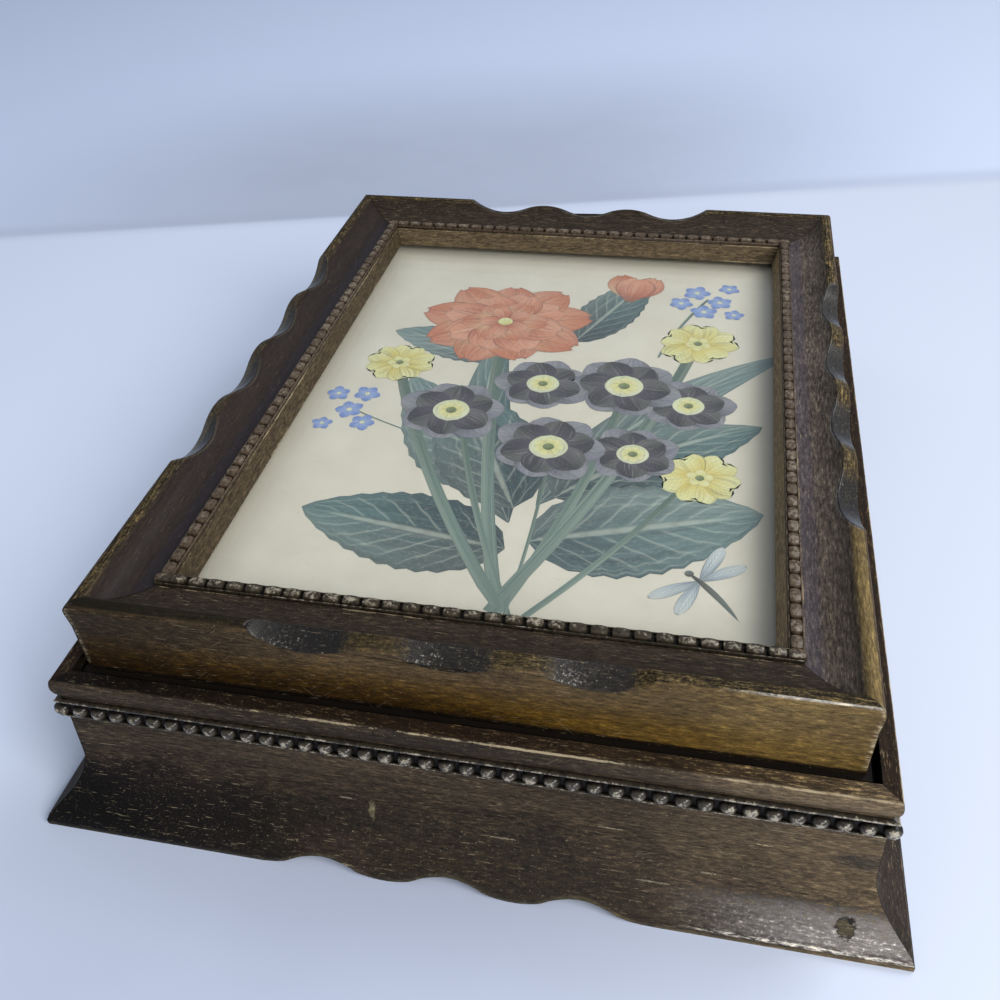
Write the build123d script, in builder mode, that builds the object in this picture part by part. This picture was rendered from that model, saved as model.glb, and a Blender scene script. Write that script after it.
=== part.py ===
"""A keepsake box whose hinged lid is a small glazed picture frame.

The base is a coved moulding mitred round a tray of thin boards. The lid nests just
inside the base's ledge, rests on the top edges of the tray boards and turns on two
small brass hinges at the back. A string of beads is let into each moulding, the lip
of the lid is gouged into a run of hollows, and the foot of the base is scalloped.

Millimetres. The origin is on the table under the middle of the box, +Z up, -Y front.
"""

import os
from dataclasses import dataclass
from math import ceil, cos, radians, sin, sqrt

from build123d import *

os.makedirs("parts", exist_ok=True)

# Plan, measured from lip to lip of the lid's moulding
LID_WIDTH = 178.0
LID_DEPTH = 229.0

# Levels
BASE_HEIGHT = 46.3  # table to the ledge
LID_NEST = 1.8  # how far the lid sits down inside the ledge
LID_HEIGHT = 20.3  # lid's underside to its lip line

# Lid moulding: widths run inwards from the lip, drops run down from the lip line
SIDE_SET = 0.35  # the lid's side stands this far inside its lip
SIDE_FLARE_DROP = 6.0
LIP_DROP = 1.5
CREST_IN, CREST_RISE = 1.9, 1.2
SCOOP_START, SCOOP_START_DROP = 4.4, 0.4
SCOOP_MID, SCOOP_MID_DROP = 8.6, 3.7
SCOOP_END, SCOOP_END_DROP = 14.5, 4.4
LID_BED_DROP = 5.0  # floor of the groove for the bead strip
BEVEL_DROP = 4.6
SIGHT_IN = 19.5  # lip to the edge of the glass that shows
GLASS_DROP = 10.4
REBATE = 7.0  # width of the rebate that holds the glass

# Base moulding: distances run outwards from the lid's lip line, heights from the table
FOOT_OUT = 16.8
TOE_HEIGHT = 1.7
TOE_IN, TOE_RISE = 0.9, 1.8
COVE_RADIUS = 18.0
COVE_FOOT_OUT, COVE_FOOT_Z = 12.5, 6.4
COVE_NECK_OUT, COVE_NECK_Z = 6.3, 20.0
NECK_TOP_OUT = 5.7
BASE_BED_OUT = 5.2  # floor of the groove for the bead strip
BEAD_ROW_DROP = 9.5  # these drops run down from the ledge
BAND_FOOT_DROP = 6.1
BAND_OUT, BAND_DROP = 6.75, 2.7
LEDGE_OUT, LEDGE_ROUND = 5.7, 0.8
LEDGE_IN = 2.54
SLOT_DEPTH = 6.0  # open slot between the ledge and the tray board

# Tray
TRAY_OUT = 1.0  # outer face of the tray boards
TRAY_BOARD = 6.0
PANEL_LIFT = 2.0  # table to the underside of the bottom panel
PANEL_THICKNESS = 4.0
PAD_THICKNESS = 1.0
PAD_MARGIN = 0.5
PAD_CORNER = 3.0

# Bead strips
BEAD_PITCH = 4.75
NOTCH_MOUTH = 1.9
LID_BEAD_WIDTH, LID_BEAD_CROWN = 3.3, 1.5
LID_BEAD_BACKING, LID_BEAD_RISE = 1.4, 1.2
BASE_BEAD_WIDTH, BASE_BEAD_CROWN = 5.4, 2.4
BASE_BEAD_BACKING, BASE_BEAD_RISE = 1.2, 1.7
BED_PLAY = 0.05

# Hollows carved in the lip and scallops carved in the foot
CARVING_PITCH = 31.5
CARVING_MARGIN = 40.0  # least plain run from a corner of the lip to the first hollow
GOUGE_DROP = 4.2  # on the lid's side, at the deepest
GOUGE_WAVE = 2.9  # height of the ridge between two hollows
GOUGE_SLOPE = 26.0
SCALLOP_RISE = 4.6  # at the foot's outer edge, at the highest
SCALLOP_SLOPE = 30.0
CUTTER_HEAD = 7.0
CUTTER_RUN = 14.0

# Glazing
GLAZING_PLAY = 0.5  # all round, inside the rebate
GLASS_THICKNESS = 2.0
PRINT_THICKNESS = 0.3
BACKING_THICKNESS = 2.4
POINT_WIDTH, POINT_THICKNESS = 6.0, 0.6
POINT_LENGTH = 12.0
POINT_GRIP = 6.0  # length driven into the rail
POINT_SPACING = 75.0

# Cut brads that hold the bottom panel to the tray boards
BRAD_WIDTH, BRAD_THICKNESS = 1.6, 1.2
BRAD_HEAD_WIDTH, BRAD_HEAD = 2.6, 0.6
BRAD_LENGTH = 13.0
BRAD_SPACING = 75.0
DRIVE_PLAY = 0.02  # between a driven fastener and the wood round it

# Hinges
HINGE_SET = 29.0  # corner of the lip to the middle of a hinge
HINGE_WIDTH = 25.0
HINGE_AXIS_OUT = 1.09
HINGE_AXIS_RISE = 1.0  # above the ledge
KNUCKLE_RADIUS = 1.15
KNUCKLES = 3
KNUCKLE_GAP = 0.15
PIN_RADIUS = 0.55
PIN_FIT, PIN_PLAY = 0.01, 0.05  # in the base's knuckles, in the lid's knuckles
LEAF_PLAY = 0.1  # lid's side to the back of the leaf
LEAF_THICKNESS = 0.6
LEAF_HEIGHT = 10.0
LEAF_GAP = 1.7  # from the axis to the body of a leaf
MORTISE_PLAY = 0.3
SCREW_RADIUS = 0.7
SCREW_HEAD_RADIUS = 1.3
SCREW_LENGTH = 4.0
SCREW_SPREAD = 15.0
SCREW_TAPER = 45.0
SCREW_FACETS = 8

SEAT_Z = BASE_HEIGHT - LID_NEST
LIP_Z = SEAT_Z + LID_HEIGHT
TRAY_IN = TRAY_OUT - TRAY_BOARD
TRAY_FLOOR = PANEL_LIFT + PANEL_THICKNESS
TRAY_MID = (TRAY_OUT + TRAY_IN) / 2
GLASS_TOP = LIP_Z - GLASS_DROP
PRINT_TOP = GLASS_TOP - GLASS_THICKNESS
BACKING_TOP = PRINT_TOP - PRINT_THICKNESS
BACKING_FOOT = BACKING_TOP - BACKING_THICKNESS
REBATE_WALL = REBATE - SIGHT_IN
LID_BEAD_OUT = -SCOOP_END - LID_BEAD_WIDTH / 2 - BED_PLAY
LID_BED_END = SCOOP_END + LID_BEAD_WIDTH + 2 * BED_PLAY
BASE_BED_HALF = BASE_BEAD_WIDTH / 2 + BED_PLAY
HINGE_AXIS_Z = BASE_HEIGHT + HINGE_AXIS_RISE
LEAF_BACK = -SIDE_SET + LEAF_PLAY
LEAF_FACE = LEAF_BACK + LEAF_THICKNESS
BEAD_ROW_Z = BASE_HEIGHT - BEAD_ROW_DROP
MORTISE_FOOT = HINGE_AXIS_Z - LEAF_GAP - LEAF_HEIGHT - MORTISE_PLAY


@dataclass(frozen=True)
class Side:
    """One side of the box: its outward direction and its lip line in plan."""

    name: str
    outward: Vector
    reach: float  # from the middle of the box to the lid's lip
    half_run: float  # half the lip's length along this side

    @property
    def along(self) -> Vector:
        return self.outward.cross(Vector(0, 0, 1))

    @property
    def hollows(self) -> list[float]:
        """Middles of the hollows carved along this side."""
        room = 2 * (self.half_run - CARVING_MARGIN)
        return spaced(int(room // CARVING_PITCH), CARVING_PITCH)

    def point(self, out: float, along: float = 0.0, height: float = 0.0) -> Vector:
        """A point by its distance outside the lip, along the side and above the table."""
        return self.outward * (self.reach + out) + self.along * along + Vector(0, 0, height)

    def section(self, along: float = 0.0) -> Plane:
        """Section plane: x outwards from the lip, y up from the table."""
        return Plane(origin=self.point(0, along), x_dir=self.outward, z_dir=self.along)

    def mitre(self, end: int) -> Plane:
        """Mitre plane at one end; what lies above it belongs to the next side."""
        corner = self.point(0, end * self.half_run)
        return Plane(origin=corner, z_dir=self.along * end - self.outward)

    def cutter(self, out: float, height: float, slope: float, hand: int) -> Plane:
        """Plane across a carving cut, x along the side and y into the wood.

        The cut runs outwards from the point and downwards by the slope where hand is 1.
        Where hand is -1 it runs outwards and upwards, with the wood above it.
        """
        run = self.outward * cos(radians(slope)) - Vector(0, 0, hand * sin(radians(slope)))
        return Plane(origin=self.point(out, 0, height), x_dir=self.along, z_dir=run * hand)


FRONT = Side("front", Vector(0, -1, 0), LID_DEPTH / 2, LID_WIDTH / 2)
BACK = Side("back", Vector(0, 1, 0), LID_DEPTH / 2, LID_WIDTH / 2)
LEFT = Side("left", Vector(-1, 0, 0), LID_WIDTH / 2, LID_DEPTH / 2)
RIGHT = Side("right", Vector(1, 0, 0), LID_WIDTH / 2, LID_DEPTH / 2)
SIDES = (FRONT, BACK, LEFT, RIGHT)

HINGES = {"left": HINGE_SET - LID_WIDTH / 2, "right": LID_WIDTH / 2 - HINGE_SET}


def finish(builder: BuildPart, label: str) -> None:
    """Label a finished piece and write it out."""
    builder.part.label = label
    export_step(builder.part, f"parts/{label}.step")


def trim_to_mitres(side: Side) -> None:
    """Cut the piece being built to the mitre at both of its ends."""
    for end in (-1, 1):
        split(bisect_by=side.mitre(end), keep=Keep.BOTTOM)


def spaced(count: int, pitch: float) -> list[float]:
    """Positions of a centred row."""
    return [(i - (count - 1) / 2) * pitch for i in range(count)]


def fastener_row(run: float, spacing: float) -> list[float]:
    """Centred positions along a run, no farther apart than the spacing."""
    count = max(2, ceil(run / spacing))
    return spaced(count, run / count)


def lid_section(side: Side) -> Sketch:
    """The lid's moulding: side, rounded lip, scooped face, bead groove, bevel, rebate."""
    lip = (0, LIP_Z - LIP_DROP)
    scoop_start = (-SCOOP_START, LIP_Z - SCOOP_START_DROP)
    scoop_end = (-SCOOP_END, LIP_Z - SCOOP_END_DROP)
    with BuildSketch(side.section()) as section:
        with BuildLine():
            Polyline((-SIDE_SET, SEAT_Z), (-SIDE_SET, LIP_Z - SIDE_FLARE_DROP), lip)
            ThreePointArc(lip, (-CREST_IN, LIP_Z + CREST_RISE), scoop_start)
            ThreePointArc(scoop_start, (-SCOOP_MID, LIP_Z - SCOOP_MID_DROP), scoop_end)
            Polyline(
                scoop_end,
                (-SCOOP_END, LIP_Z - LID_BED_DROP),
                (-LID_BED_END, LIP_Z - LID_BED_DROP),
                (-LID_BED_END, LIP_Z - BEVEL_DROP),
                (-SIGHT_IN, GLASS_TOP),
                (REBATE_WALL, GLASS_TOP),
                (REBATE_WALL, SEAT_Z),
                (-SIDE_SET, SEAT_Z),
            )
        make_face()
    return section.sketch


def base_section(side: Side) -> Sketch:
    """The base's moulding: toe, cove, neck, bead groove, rounded band, ledge, slot."""
    toe = (FOOT_OUT, TOE_HEIGHT)
    toe_top = (FOOT_OUT - TOE_IN, TOE_HEIGHT + TOE_RISE)
    cove_foot = (COVE_FOOT_OUT, COVE_FOOT_Z)
    cove_neck = (COVE_NECK_OUT, COVE_NECK_Z)
    band_foot = (NECK_TOP_OUT, BASE_HEIGHT - BAND_FOOT_DROP)
    band_mid = (BAND_OUT, BASE_HEIGHT - BAND_DROP)
    band_top = (LEDGE_OUT + LEDGE_ROUND, BASE_HEIGHT - LEDGE_ROUND)
    with BuildSketch(side.section()) as section:
        with BuildLine():
            Polyline((TRAY_OUT, 0), (FOOT_OUT, 0), toe, toe_top, cove_foot)
            RadiusArc(cove_foot, cove_neck, COVE_RADIUS)
            Polyline(
                cove_neck,
                (NECK_TOP_OUT, BEAD_ROW_Z - BASE_BED_HALF),
                (BASE_BED_OUT, BEAD_ROW_Z - BASE_BED_HALF),
                (BASE_BED_OUT, BEAD_ROW_Z + BASE_BED_HALF),
                (NECK_TOP_OUT, BEAD_ROW_Z + BASE_BED_HALF),
                band_foot,
            )
            ThreePointArc(band_foot, band_mid, band_top)
            RadiusArc(band_top, (LEDGE_OUT, BASE_HEIGHT), -LEDGE_ROUND)
            Polyline(
                (LEDGE_OUT, BASE_HEIGHT),
                (LEDGE_IN, BASE_HEIGHT),
                (LEDGE_IN, BASE_HEIGHT - SLOT_DEPTH),
                (TRAY_OUT, BASE_HEIGHT - SLOT_DEPTH),
                (TRAY_OUT, 0),
            )
        make_face()
    return section.sketch


def carving_section(
    plane: Plane, centres: list[float], wave: float, shouldered: bool
) -> Sketch:
    """Section of a carving cutter, its hollows on the x axis and its ridges above them.

    Hollows and ridges are arcs of one radius that meet half-way up each flank. At its
    ends the wave runs out of the wood, over a rounded shoulder where it is shouldered.
    """
    quarter, half_wave = CARVING_PITCH / 4, wave / 2
    radius = (quarter**2 + half_wave**2) / (2 * half_wave)

    def sag(offset: float) -> float:
        return radius - sqrt(radius**2 - offset**2)

    with BuildSketch(plane) as section:
        with BuildLine():
            for centre in centres:
                ThreePointArc(
                    (centre - quarter, -half_wave),
                    (centre, 0),
                    (centre + quarter, -half_wave),
                )
            for centre in centres[1:]:
                ridge = centre - 2 * quarter
                ThreePointArc(
                    (ridge - quarter, -half_wave),
                    (ridge, -wave),
                    (ridge + quarter, -half_wave),
                )
            heads = []
            for hand, centre in ((-1, centres[0]), (1, centres[-1])):
                flank = (centre + hand * quarter, -half_wave)
                if shouldered:
                    shoulder = (centre + hand * 2 * quarter, -wave)
                    mid = ((flank[0] + shoulder[0]) / 2, sag(quarter / 2) - wave)
                    heads.append((shoulder[0], -wave - CUTTER_HEAD))
                    ThreePointArc(flank, mid, shoulder)
                    Line(shoulder, heads[-1])
                else:
                    exit_x = sqrt(radius**2 - (radius - CUTTER_HEAD) ** 2)
                    mid_x = (exit_x + quarter) / 2
                    heads.append((centre + hand * exit_x, -CUTTER_HEAD))
                    ThreePointArc(flank, (centre + hand * mid_x, -sag(mid_x)), heads[-1])
            Line(*heads)
        make_face()
    return section.sketch


def bead_strip(
    side: Side, bed: Plane, out: float, width: float, crown: float, backing: float, rise: float
) -> BuildPart:
    """A mitred bar with a sloping back, notched across into a string of beads."""
    run = 2 * (side.half_run + out)
    top = backing + rise
    notches = spaced(int(run // BEAD_PITCH) + 1, BEAD_PITCH)
    across = Plane(origin=bed.origin, x_dir=bed.z_dir, z_dir=bed.z_dir.cross(bed.y_dir))
    with BuildPart() as strip:
        with BuildSketch(bed):
            Polygon(
                (-width / 2, 0),
                (width / 2, 0),
                (width / 2, backing),
                (crown / 2, top),
                (-crown / 2, top),
                (-width / 2, backing),
                align=None,
            )
        extrude(amount=run / 2 + width, both=True)
        with BuildSketch(across):
            with Locations(*[(x, 0) for x in notches]):
                Polygon(
                    (0, backing), (NOTCH_MOUTH / 2, top), (-NOTCH_MOUTH / 2, top), align=None
                )
        extrude(amount=width, both=True, mode=Mode.SUBTRACT)
        trim_to_mitres(side)
    return strip


def framer_point(side: Side, along: float, play: float) -> Part:
    """A flat point driven into the rebate's wall under the backing board."""
    middle = side.point(REBATE_WALL + POINT_GRIP - POINT_LENGTH / 2, along, BACKING_FOOT)
    with BuildPart() as point:
        with BuildSketch(Plane(origin=middle, x_dir=side.outward)):
            Rectangle(POINT_LENGTH + 2 * play, POINT_WIDTH + 2 * play)
        extrude(amount=-POINT_THICKNESS - play)
    return point.part


def cut_brad(side: Side, along: float, play: float) -> Part:
    """A square brad driven up through the bottom panel, its head flush underneath."""
    foot = Plane(origin=side.point(TRAY_MID, along, PANEL_LIFT), x_dir=side.along)
    with BuildPart() as brad:
        with BuildSketch(foot):
            Rectangle(BRAD_WIDTH + 2 * play, BRAD_THICKNESS + 2 * play)
        extrude(amount=BRAD_LENGTH + play)
        with BuildSketch(foot):
            Rectangle(BRAD_HEAD_WIDTH + 2 * play, BRAD_THICKNESS + 2 * play)
        extrude(amount=BRAD_HEAD + play)
    return brad.part


def hinge_screw(along: float, hand: int, play: float) -> Part:
    """A countersunk screw through the middle of a leaf; hand -1 is the lower leaf."""
    height = HINGE_AXIS_Z + hand * (LEAF_GAP + LEAF_HEIGHT / 2)
    head = Plane(origin=BACK.point(LEAF_FACE, along, height), z_dir=-BACK.outward)
    with BuildPart() as screw:
        with BuildSketch(head):
            RegularPolygon(SCREW_HEAD_RADIUS + play, SCREW_FACETS)
        extrude(amount=SCREW_HEAD_RADIUS - SCREW_RADIUS, taper=SCREW_TAPER)
        with BuildSketch(head):
            RegularPolygon(SCREW_RADIUS + play, SCREW_FACETS)
        extrude(amount=SCREW_LENGTH + play)
    return screw.part


def point_row(side: Side) -> list[float]:
    """Positions of the framer's points along a side of the lid."""
    return fastener_row(2 * (side.half_run + REBATE_WALL), POINT_SPACING)


def brad_row(side: Side) -> list[float]:
    """Positions of the brads along a side of the bottom panel."""
    return fastener_row(2 * (side.half_run + TRAY_IN), BRAD_SPACING)


SCREW_ROW = [hinge + x for hinge in HINGES.values() for x in spaced(2, SCREW_SPREAD)]

for side in SIDES:
    foot_cut = side.cutter(FOOT_OUT, SCALLOP_RISE, SCALLOP_SLOPE, -1)
    foot_wave = SCALLOP_RISE * cos(radians(SCALLOP_SLOPE))
    with BuildPart() as base_rail:
        extrude(base_section(side), amount=side.half_run + FOOT_OUT, both=True)
        trim_to_mitres(side)
        scallops = carving_section(foot_cut, side.hollows, foot_wave, True)
        extrude(scallops, amount=CUTTER_RUN, both=True, mode=Mode.SUBTRACT)
    finish(base_rail, f"base_{side.name}_rail")

    row = side.point(BASE_BED_OUT, 0, BEAD_ROW_Z)
    bed = Plane(origin=row, x_dir=(0, 0, 1), z_dir=-side.along)
    base_beads = bead_strip(
        side,
        bed,
        BASE_BED_OUT,
        BASE_BEAD_WIDTH,
        BASE_BEAD_CROWN,
        BASE_BEAD_BACKING,
        BASE_BEAD_RISE,
    )
    finish(base_beads, f"base_{side.name}_beads")

    with BuildPart() as tray_board:
        with BuildSketch(side.section()):
            with Locations((TRAY_MID, (TRAY_FLOOR + SEAT_Z) / 2)):
                Rectangle(TRAY_BOARD, SEAT_Z - TRAY_FLOOR)
        extrude(amount=side.half_run + TRAY_OUT, both=True)
        trim_to_mitres(side)
        for along in brad_row(side):
            add(cut_brad(side, along, DRIVE_PLAY), mode=Mode.SUBTRACT)
        if side is BACK:
            for centre in HINGES.values():
                with BuildSketch(side.section(centre)):
                    with Locations((LEAF_BACK, MORTISE_FOOT)):
                        Rectangle(TRAY_BOARD, SEAT_Z, align=(Align.MIN, Align.MIN))
                extrude(
                    amount=HINGE_WIDTH / 2 + MORTISE_PLAY, both=True, mode=Mode.SUBTRACT
                )
            for along in SCREW_ROW:
                add(hinge_screw(along, -1, DRIVE_PLAY), mode=Mode.SUBTRACT)
    finish(tray_board, f"tray_{side.name}_board")

    lip_cut = side.cutter(0, LIP_Z - GOUGE_DROP, GOUGE_SLOPE, 1)
    with BuildPart() as lid_rail:
        extrude(lid_section(side), amount=side.half_run, both=True)
        trim_to_mitres(side)
        gouges = carving_section(lip_cut, side.hollows, GOUGE_WAVE, False)
        extrude(gouges, amount=CUTTER_RUN, both=True, mode=Mode.SUBTRACT)
        for along in point_row(side):
            add(framer_point(side, along, DRIVE_PLAY), mode=Mode.SUBTRACT)
        if side is BACK:
            for along in SCREW_ROW:
                add(hinge_screw(along, 1, DRIVE_PLAY), mode=Mode.SUBTRACT)
    finish(lid_rail, f"lid_{side.name}_rail")

    row = side.point(LID_BEAD_OUT, 0, LIP_Z - LID_BED_DROP)
    bed = Plane(origin=row, x_dir=side.outward, z_dir=side.along)
    lid_beads = bead_strip(
        side,
        bed,
        LID_BEAD_OUT,
        LID_BEAD_WIDTH,
        LID_BEAD_CROWN,
        LID_BEAD_BACKING,
        LID_BEAD_RISE,
    )
    finish(lid_beads, f"lid_{side.name}_beads")

with BuildPart() as bottom_panel:
    with BuildSketch(Plane.XY.offset(PANEL_LIFT)):
        Rectangle(LID_WIDTH + 2 * TRAY_OUT, LID_DEPTH + 2 * TRAY_OUT)
    extrude(amount=PANEL_THICKNESS)
    for side in SIDES:
        for along in brad_row(side):
            add(cut_brad(side, along, DRIVE_PLAY), mode=Mode.SUBTRACT)
finish(bottom_panel, "bottom_panel")

with BuildPart() as bottom_brads:
    for side in SIDES:
        for along in brad_row(side):
            add(cut_brad(side, along, 0))
finish(bottom_brads, "bottom_brads")

with BuildPart() as felt_pad:
    with BuildSketch(Plane.XY.offset(TRAY_FLOOR)):
        margin = 2 * (TRAY_IN - PAD_MARGIN)
        RectangleRounded(LID_WIDTH + margin, LID_DEPTH + margin, PAD_CORNER)
    extrude(amount=PAD_THICKNESS)
finish(felt_pad, "felt_pad")

glazing = {
    "glass_pane": (GLASS_TOP, GLASS_THICKNESS),
    "print_sheet": (PRINT_TOP, PRINT_THICKNESS),
    "backing_board": (BACKING_TOP, BACKING_THICKNESS),
}
glazing_inset = 2 * (REBATE_WALL - GLAZING_PLAY)
for label, (top, thickness) in glazing.items():
    with BuildPart() as sheet:
        with BuildSketch(Plane.XY.offset(top)):
            Rectangle(LID_WIDTH + glazing_inset, LID_DEPTH + glazing_inset)
        extrude(amount=-thickness)
    finish(sheet, label)

with BuildPart() as framer_points:
    for side in SIDES:
        for along in point_row(side):
            add(framer_point(side, along, 0))
finish(framer_points, "framer_points")


def hinge_leaf(centre: float, hand: int, own_knuckles: range, bore: float) -> BuildPart:
    """One leaf: a screwed plate and the knuckles that turn on the pin."""
    pitch = HINGE_WIDTH / KNUCKLES
    plate_near = HINGE_AXIS_Z + hand * LEAF_GAP
    plate_mid = plate_near + hand * LEAF_HEIGHT / 2
    leaf_mid = (LEAF_BACK + LEAF_FACE) / 2
    with BuildPart() as leaf:
        with BuildSketch(BACK.section(centre)):
            with Locations((leaf_mid, plate_mid)):
                Rectangle(LEAF_THICKNESS, LEAF_HEIGHT)
        extrude(amount=HINGE_WIDTH / 2, both=True)
        for knuckle in own_knuckles:
            along = centre + (knuckle - (KNUCKLES - 1) / 2) * pitch
            with BuildSketch(BACK.section(along)):
                with Locations((HINGE_AXIS_OUT, HINGE_AXIS_Z)):
                    Circle(KNUCKLE_RADIUS)
                with Locations((leaf_mid, (HINGE_AXIS_Z + plate_near) / 2)):
                    Rectangle(LEAF_THICKNESS, LEAF_GAP)
            extrude(amount=(pitch - KNUCKLE_GAP) / 2, both=True)
        with BuildSketch(BACK.section(centre)):
            with Locations((HINGE_AXIS_OUT, HINGE_AXIS_Z)):
                Circle(bore)
        extrude(amount=HINGE_WIDTH, both=True, mode=Mode.SUBTRACT)
        for screw_along in spaced(2, SCREW_SPREAD):
            cut = hinge_screw(centre + screw_along, hand, DRIVE_PLAY)
            add(cut, mode=Mode.SUBTRACT)
    return leaf


for name, centre in HINGES.items():
    lid_leaf = hinge_leaf(centre, 1, range(1, KNUCKLES, 2), PIN_RADIUS + PIN_PLAY)
    finish(lid_leaf, f"{name}_hinge_lid_leaf")

    base_leaf = hinge_leaf(centre, -1, range(0, KNUCKLES, 2), PIN_RADIUS + PIN_FIT)
    finish(base_leaf, f"{name}_hinge_base_leaf")

    with BuildPart() as hinge_pin:
        with BuildSketch(BACK.section(centre)):
            with Locations((HINGE_AXIS_OUT, HINGE_AXIS_Z)):
                Circle(PIN_RADIUS)
        extrude(amount=HINGE_WIDTH / 2, both=True)
    finish(hinge_pin, f"{name}_hinge_pin")

for label, hand in {"hinge_lid_screws": 1, "hinge_base_screws": -1}.items():
    with BuildPart() as screws:
        for along in SCREW_ROW:
            add(hinge_screw(along, hand, 0))
    finish(screws, label)
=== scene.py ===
"""A keepsake box with a framed print in its hinged lid, dressed round its CAD frame.

Metres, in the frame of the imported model: the table is z = 0 and the front faces -Y.
Sizes in millimetres are written as a number times MM. The shaders work in millimetres.
"""

import logging
import math
from collections.abc import Callable, Iterator, Sequence
from contextlib import contextmanager
from dataclasses import dataclass, field
from enum import Enum
from functools import reduce
from typing import Any, Union

import bpy
from mathutils import Matrix, Vector


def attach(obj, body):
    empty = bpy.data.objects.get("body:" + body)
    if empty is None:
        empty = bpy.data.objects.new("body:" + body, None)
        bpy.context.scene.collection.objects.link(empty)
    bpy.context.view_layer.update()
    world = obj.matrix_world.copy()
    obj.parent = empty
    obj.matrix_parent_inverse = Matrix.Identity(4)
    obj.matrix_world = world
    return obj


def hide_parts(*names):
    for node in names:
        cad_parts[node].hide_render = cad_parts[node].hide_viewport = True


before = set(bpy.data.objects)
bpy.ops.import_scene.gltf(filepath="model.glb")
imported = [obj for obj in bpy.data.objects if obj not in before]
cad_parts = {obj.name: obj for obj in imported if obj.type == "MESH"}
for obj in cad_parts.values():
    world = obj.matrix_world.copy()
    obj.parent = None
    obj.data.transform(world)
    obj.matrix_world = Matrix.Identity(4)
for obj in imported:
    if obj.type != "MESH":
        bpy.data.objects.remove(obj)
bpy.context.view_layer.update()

log = logging.getLogger("keepsake_box")

MM = 0.001
ORIGIN = (0.0, 0.0, 0.0)
UP = Vector((0.0, 0.0, 1.0))
TINY = 0.001 * MM
WELD = 0.002 * MM  # points nearer than this are one
FLAT = math.radians(0.4)  # faces that turn less are one
LEVEL = 0.9  # the least upward share of a level face's normal
SELECT_MODES = {"vertices": "VERT", "edges": "EDGE", "polygons": "FACE"}

Object = bpy.types.Object
Material = bpy.types.Material
Socket = bpy.types.NodeSocket
Colour = tuple[float, float, float]
Point = tuple[float, float]

# The lip line of the lid in plan, from which the mouldings are set out
LIP_HALF_WIDTH = 89.0 * MM
LIP_HALF_DEPTH = 114.5 * MM
LIP_Z = 64.8 * MM


class Body(Enum):
    """The two bodies of the box."""

    BASE = "base"
    LID = "lid"


class Side(Enum):
    """The four sides of the box, each with its outward direction."""

    FRONT = ("front", (0.0, -1.0))
    BACK = ("back", (0.0, 1.0))
    LEFT = ("left", (-1.0, 0.0))
    RIGHT = ("right", (1.0, 0.0))

    @property
    def label(self) -> str:
        """The side's name as the CAD nodes spell it."""
        return self.value[0]

    @property
    def outward(self) -> Vector:
        """Unit vector away from the middle of the box."""
        return Vector((*self.value[1], 0.0))

    @property
    def along(self) -> Vector:
        """Unit vector along the side."""
        return self.outward.cross(UP)

    @property
    def reach(self) -> float:
        """From the middle of the box to the lip on this side."""
        return LIP_HALF_WIDTH if self in (Side.LEFT, Side.RIGHT) else LIP_HALF_DEPTH

    @property
    def half_run(self) -> float:
        """Half the length of the lip along this side."""
        return LIP_HALF_WIDTH + LIP_HALF_DEPTH - self.reach

    def point(self, out: float, along: float, height: float) -> Vector:
        """A point by its distance outside the lip, along the side and above the table."""
        return self.outward * (self.reach + out) + self.along * along + UP * height


# ---------------------------------------------------------------- modelling bench


def take_up(*objects: Object) -> None:
    """Select only these objects and make the last one active.

    Args:
        *objects: What the next operator works on.
    """
    bpy.ops.object.select_all(action="DESELECT")
    for obj in objects:
        obj.select_set(True)
        bpy.context.view_layer.objects.active = obj


@contextmanager
def editing(
    obj: Object, kind: str = "vertices", test: Callable[[Any], bool] | None = None
) -> Iterator[None]:
    """Open an object in edit mode.

    Args:
        obj: The mesh object to shape.
        kind: What is selected: vertices, edges or polygons.
        test: Tells whether an element is selected. Without it, all of them are.

    Yields:
        Nothing. The object is in edit mode until the block ends.
    """
    chosen = [element.index for element in getattr(obj.data, kind) if test and test(element)]
    take_up(obj)
    bpy.ops.object.mode_set(mode="EDIT")
    bpy.ops.mesh.select_mode(type=SELECT_MODES[kind])
    bpy.ops.mesh.select_all(action="DESELECT" if test else "SELECT")
    bpy.ops.object.mode_set(mode="OBJECT")
    for index in chosen:
        getattr(obj.data, kind)[index].select = True
    bpy.ops.object.mode_set(mode="EDIT")
    yield
    bpy.ops.object.mode_set(mode="OBJECT")


def stretch(x: float, y: float, z: float, about: Sequence[float] = ORIGIN) -> None:
    """Scale the selected elements about a point."""
    bpy.ops.transform.resize(value=(x, y, z), center_override=about)


def sink(depth: float) -> None:
    """Extrude the selected faces downwards."""
    bpy.ops.mesh.extrude_region_move(TRANSFORM_OT_translate={"value": (0.0, 0.0, -depth)})


def groove(obj: Object, low: float, high: float, depth: float) -> None:
    """Sink a groove along X into the top of an object.

    Args:
        obj: The object.
        low: Where the groove starts on Y.
        high: Where it ends.
        depth: How deep it goes.
    """
    for y in (low, high):
        with editing(obj):
            bpy.ops.mesh.bisect(plane_co=(0.0, y, 0.0), plane_no=(0.0, 1.0, 0.0))
    with editing(obj, "polygons", lambda f: f.normal.z > LEVEL and low < f.center.y < high):
        sink(depth)


def settled(obj: Object, name: str) -> Object:
    """Name an object and move its place into its mesh.

    Args:
        obj: The object.
        name: Its new name.

    Returns:
        The same object.
    """
    take_up(obj)
    bpy.ops.object.transform_apply(location=True, rotation=True, scale=True)
    obj.name = obj.data.name = name
    return obj


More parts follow.
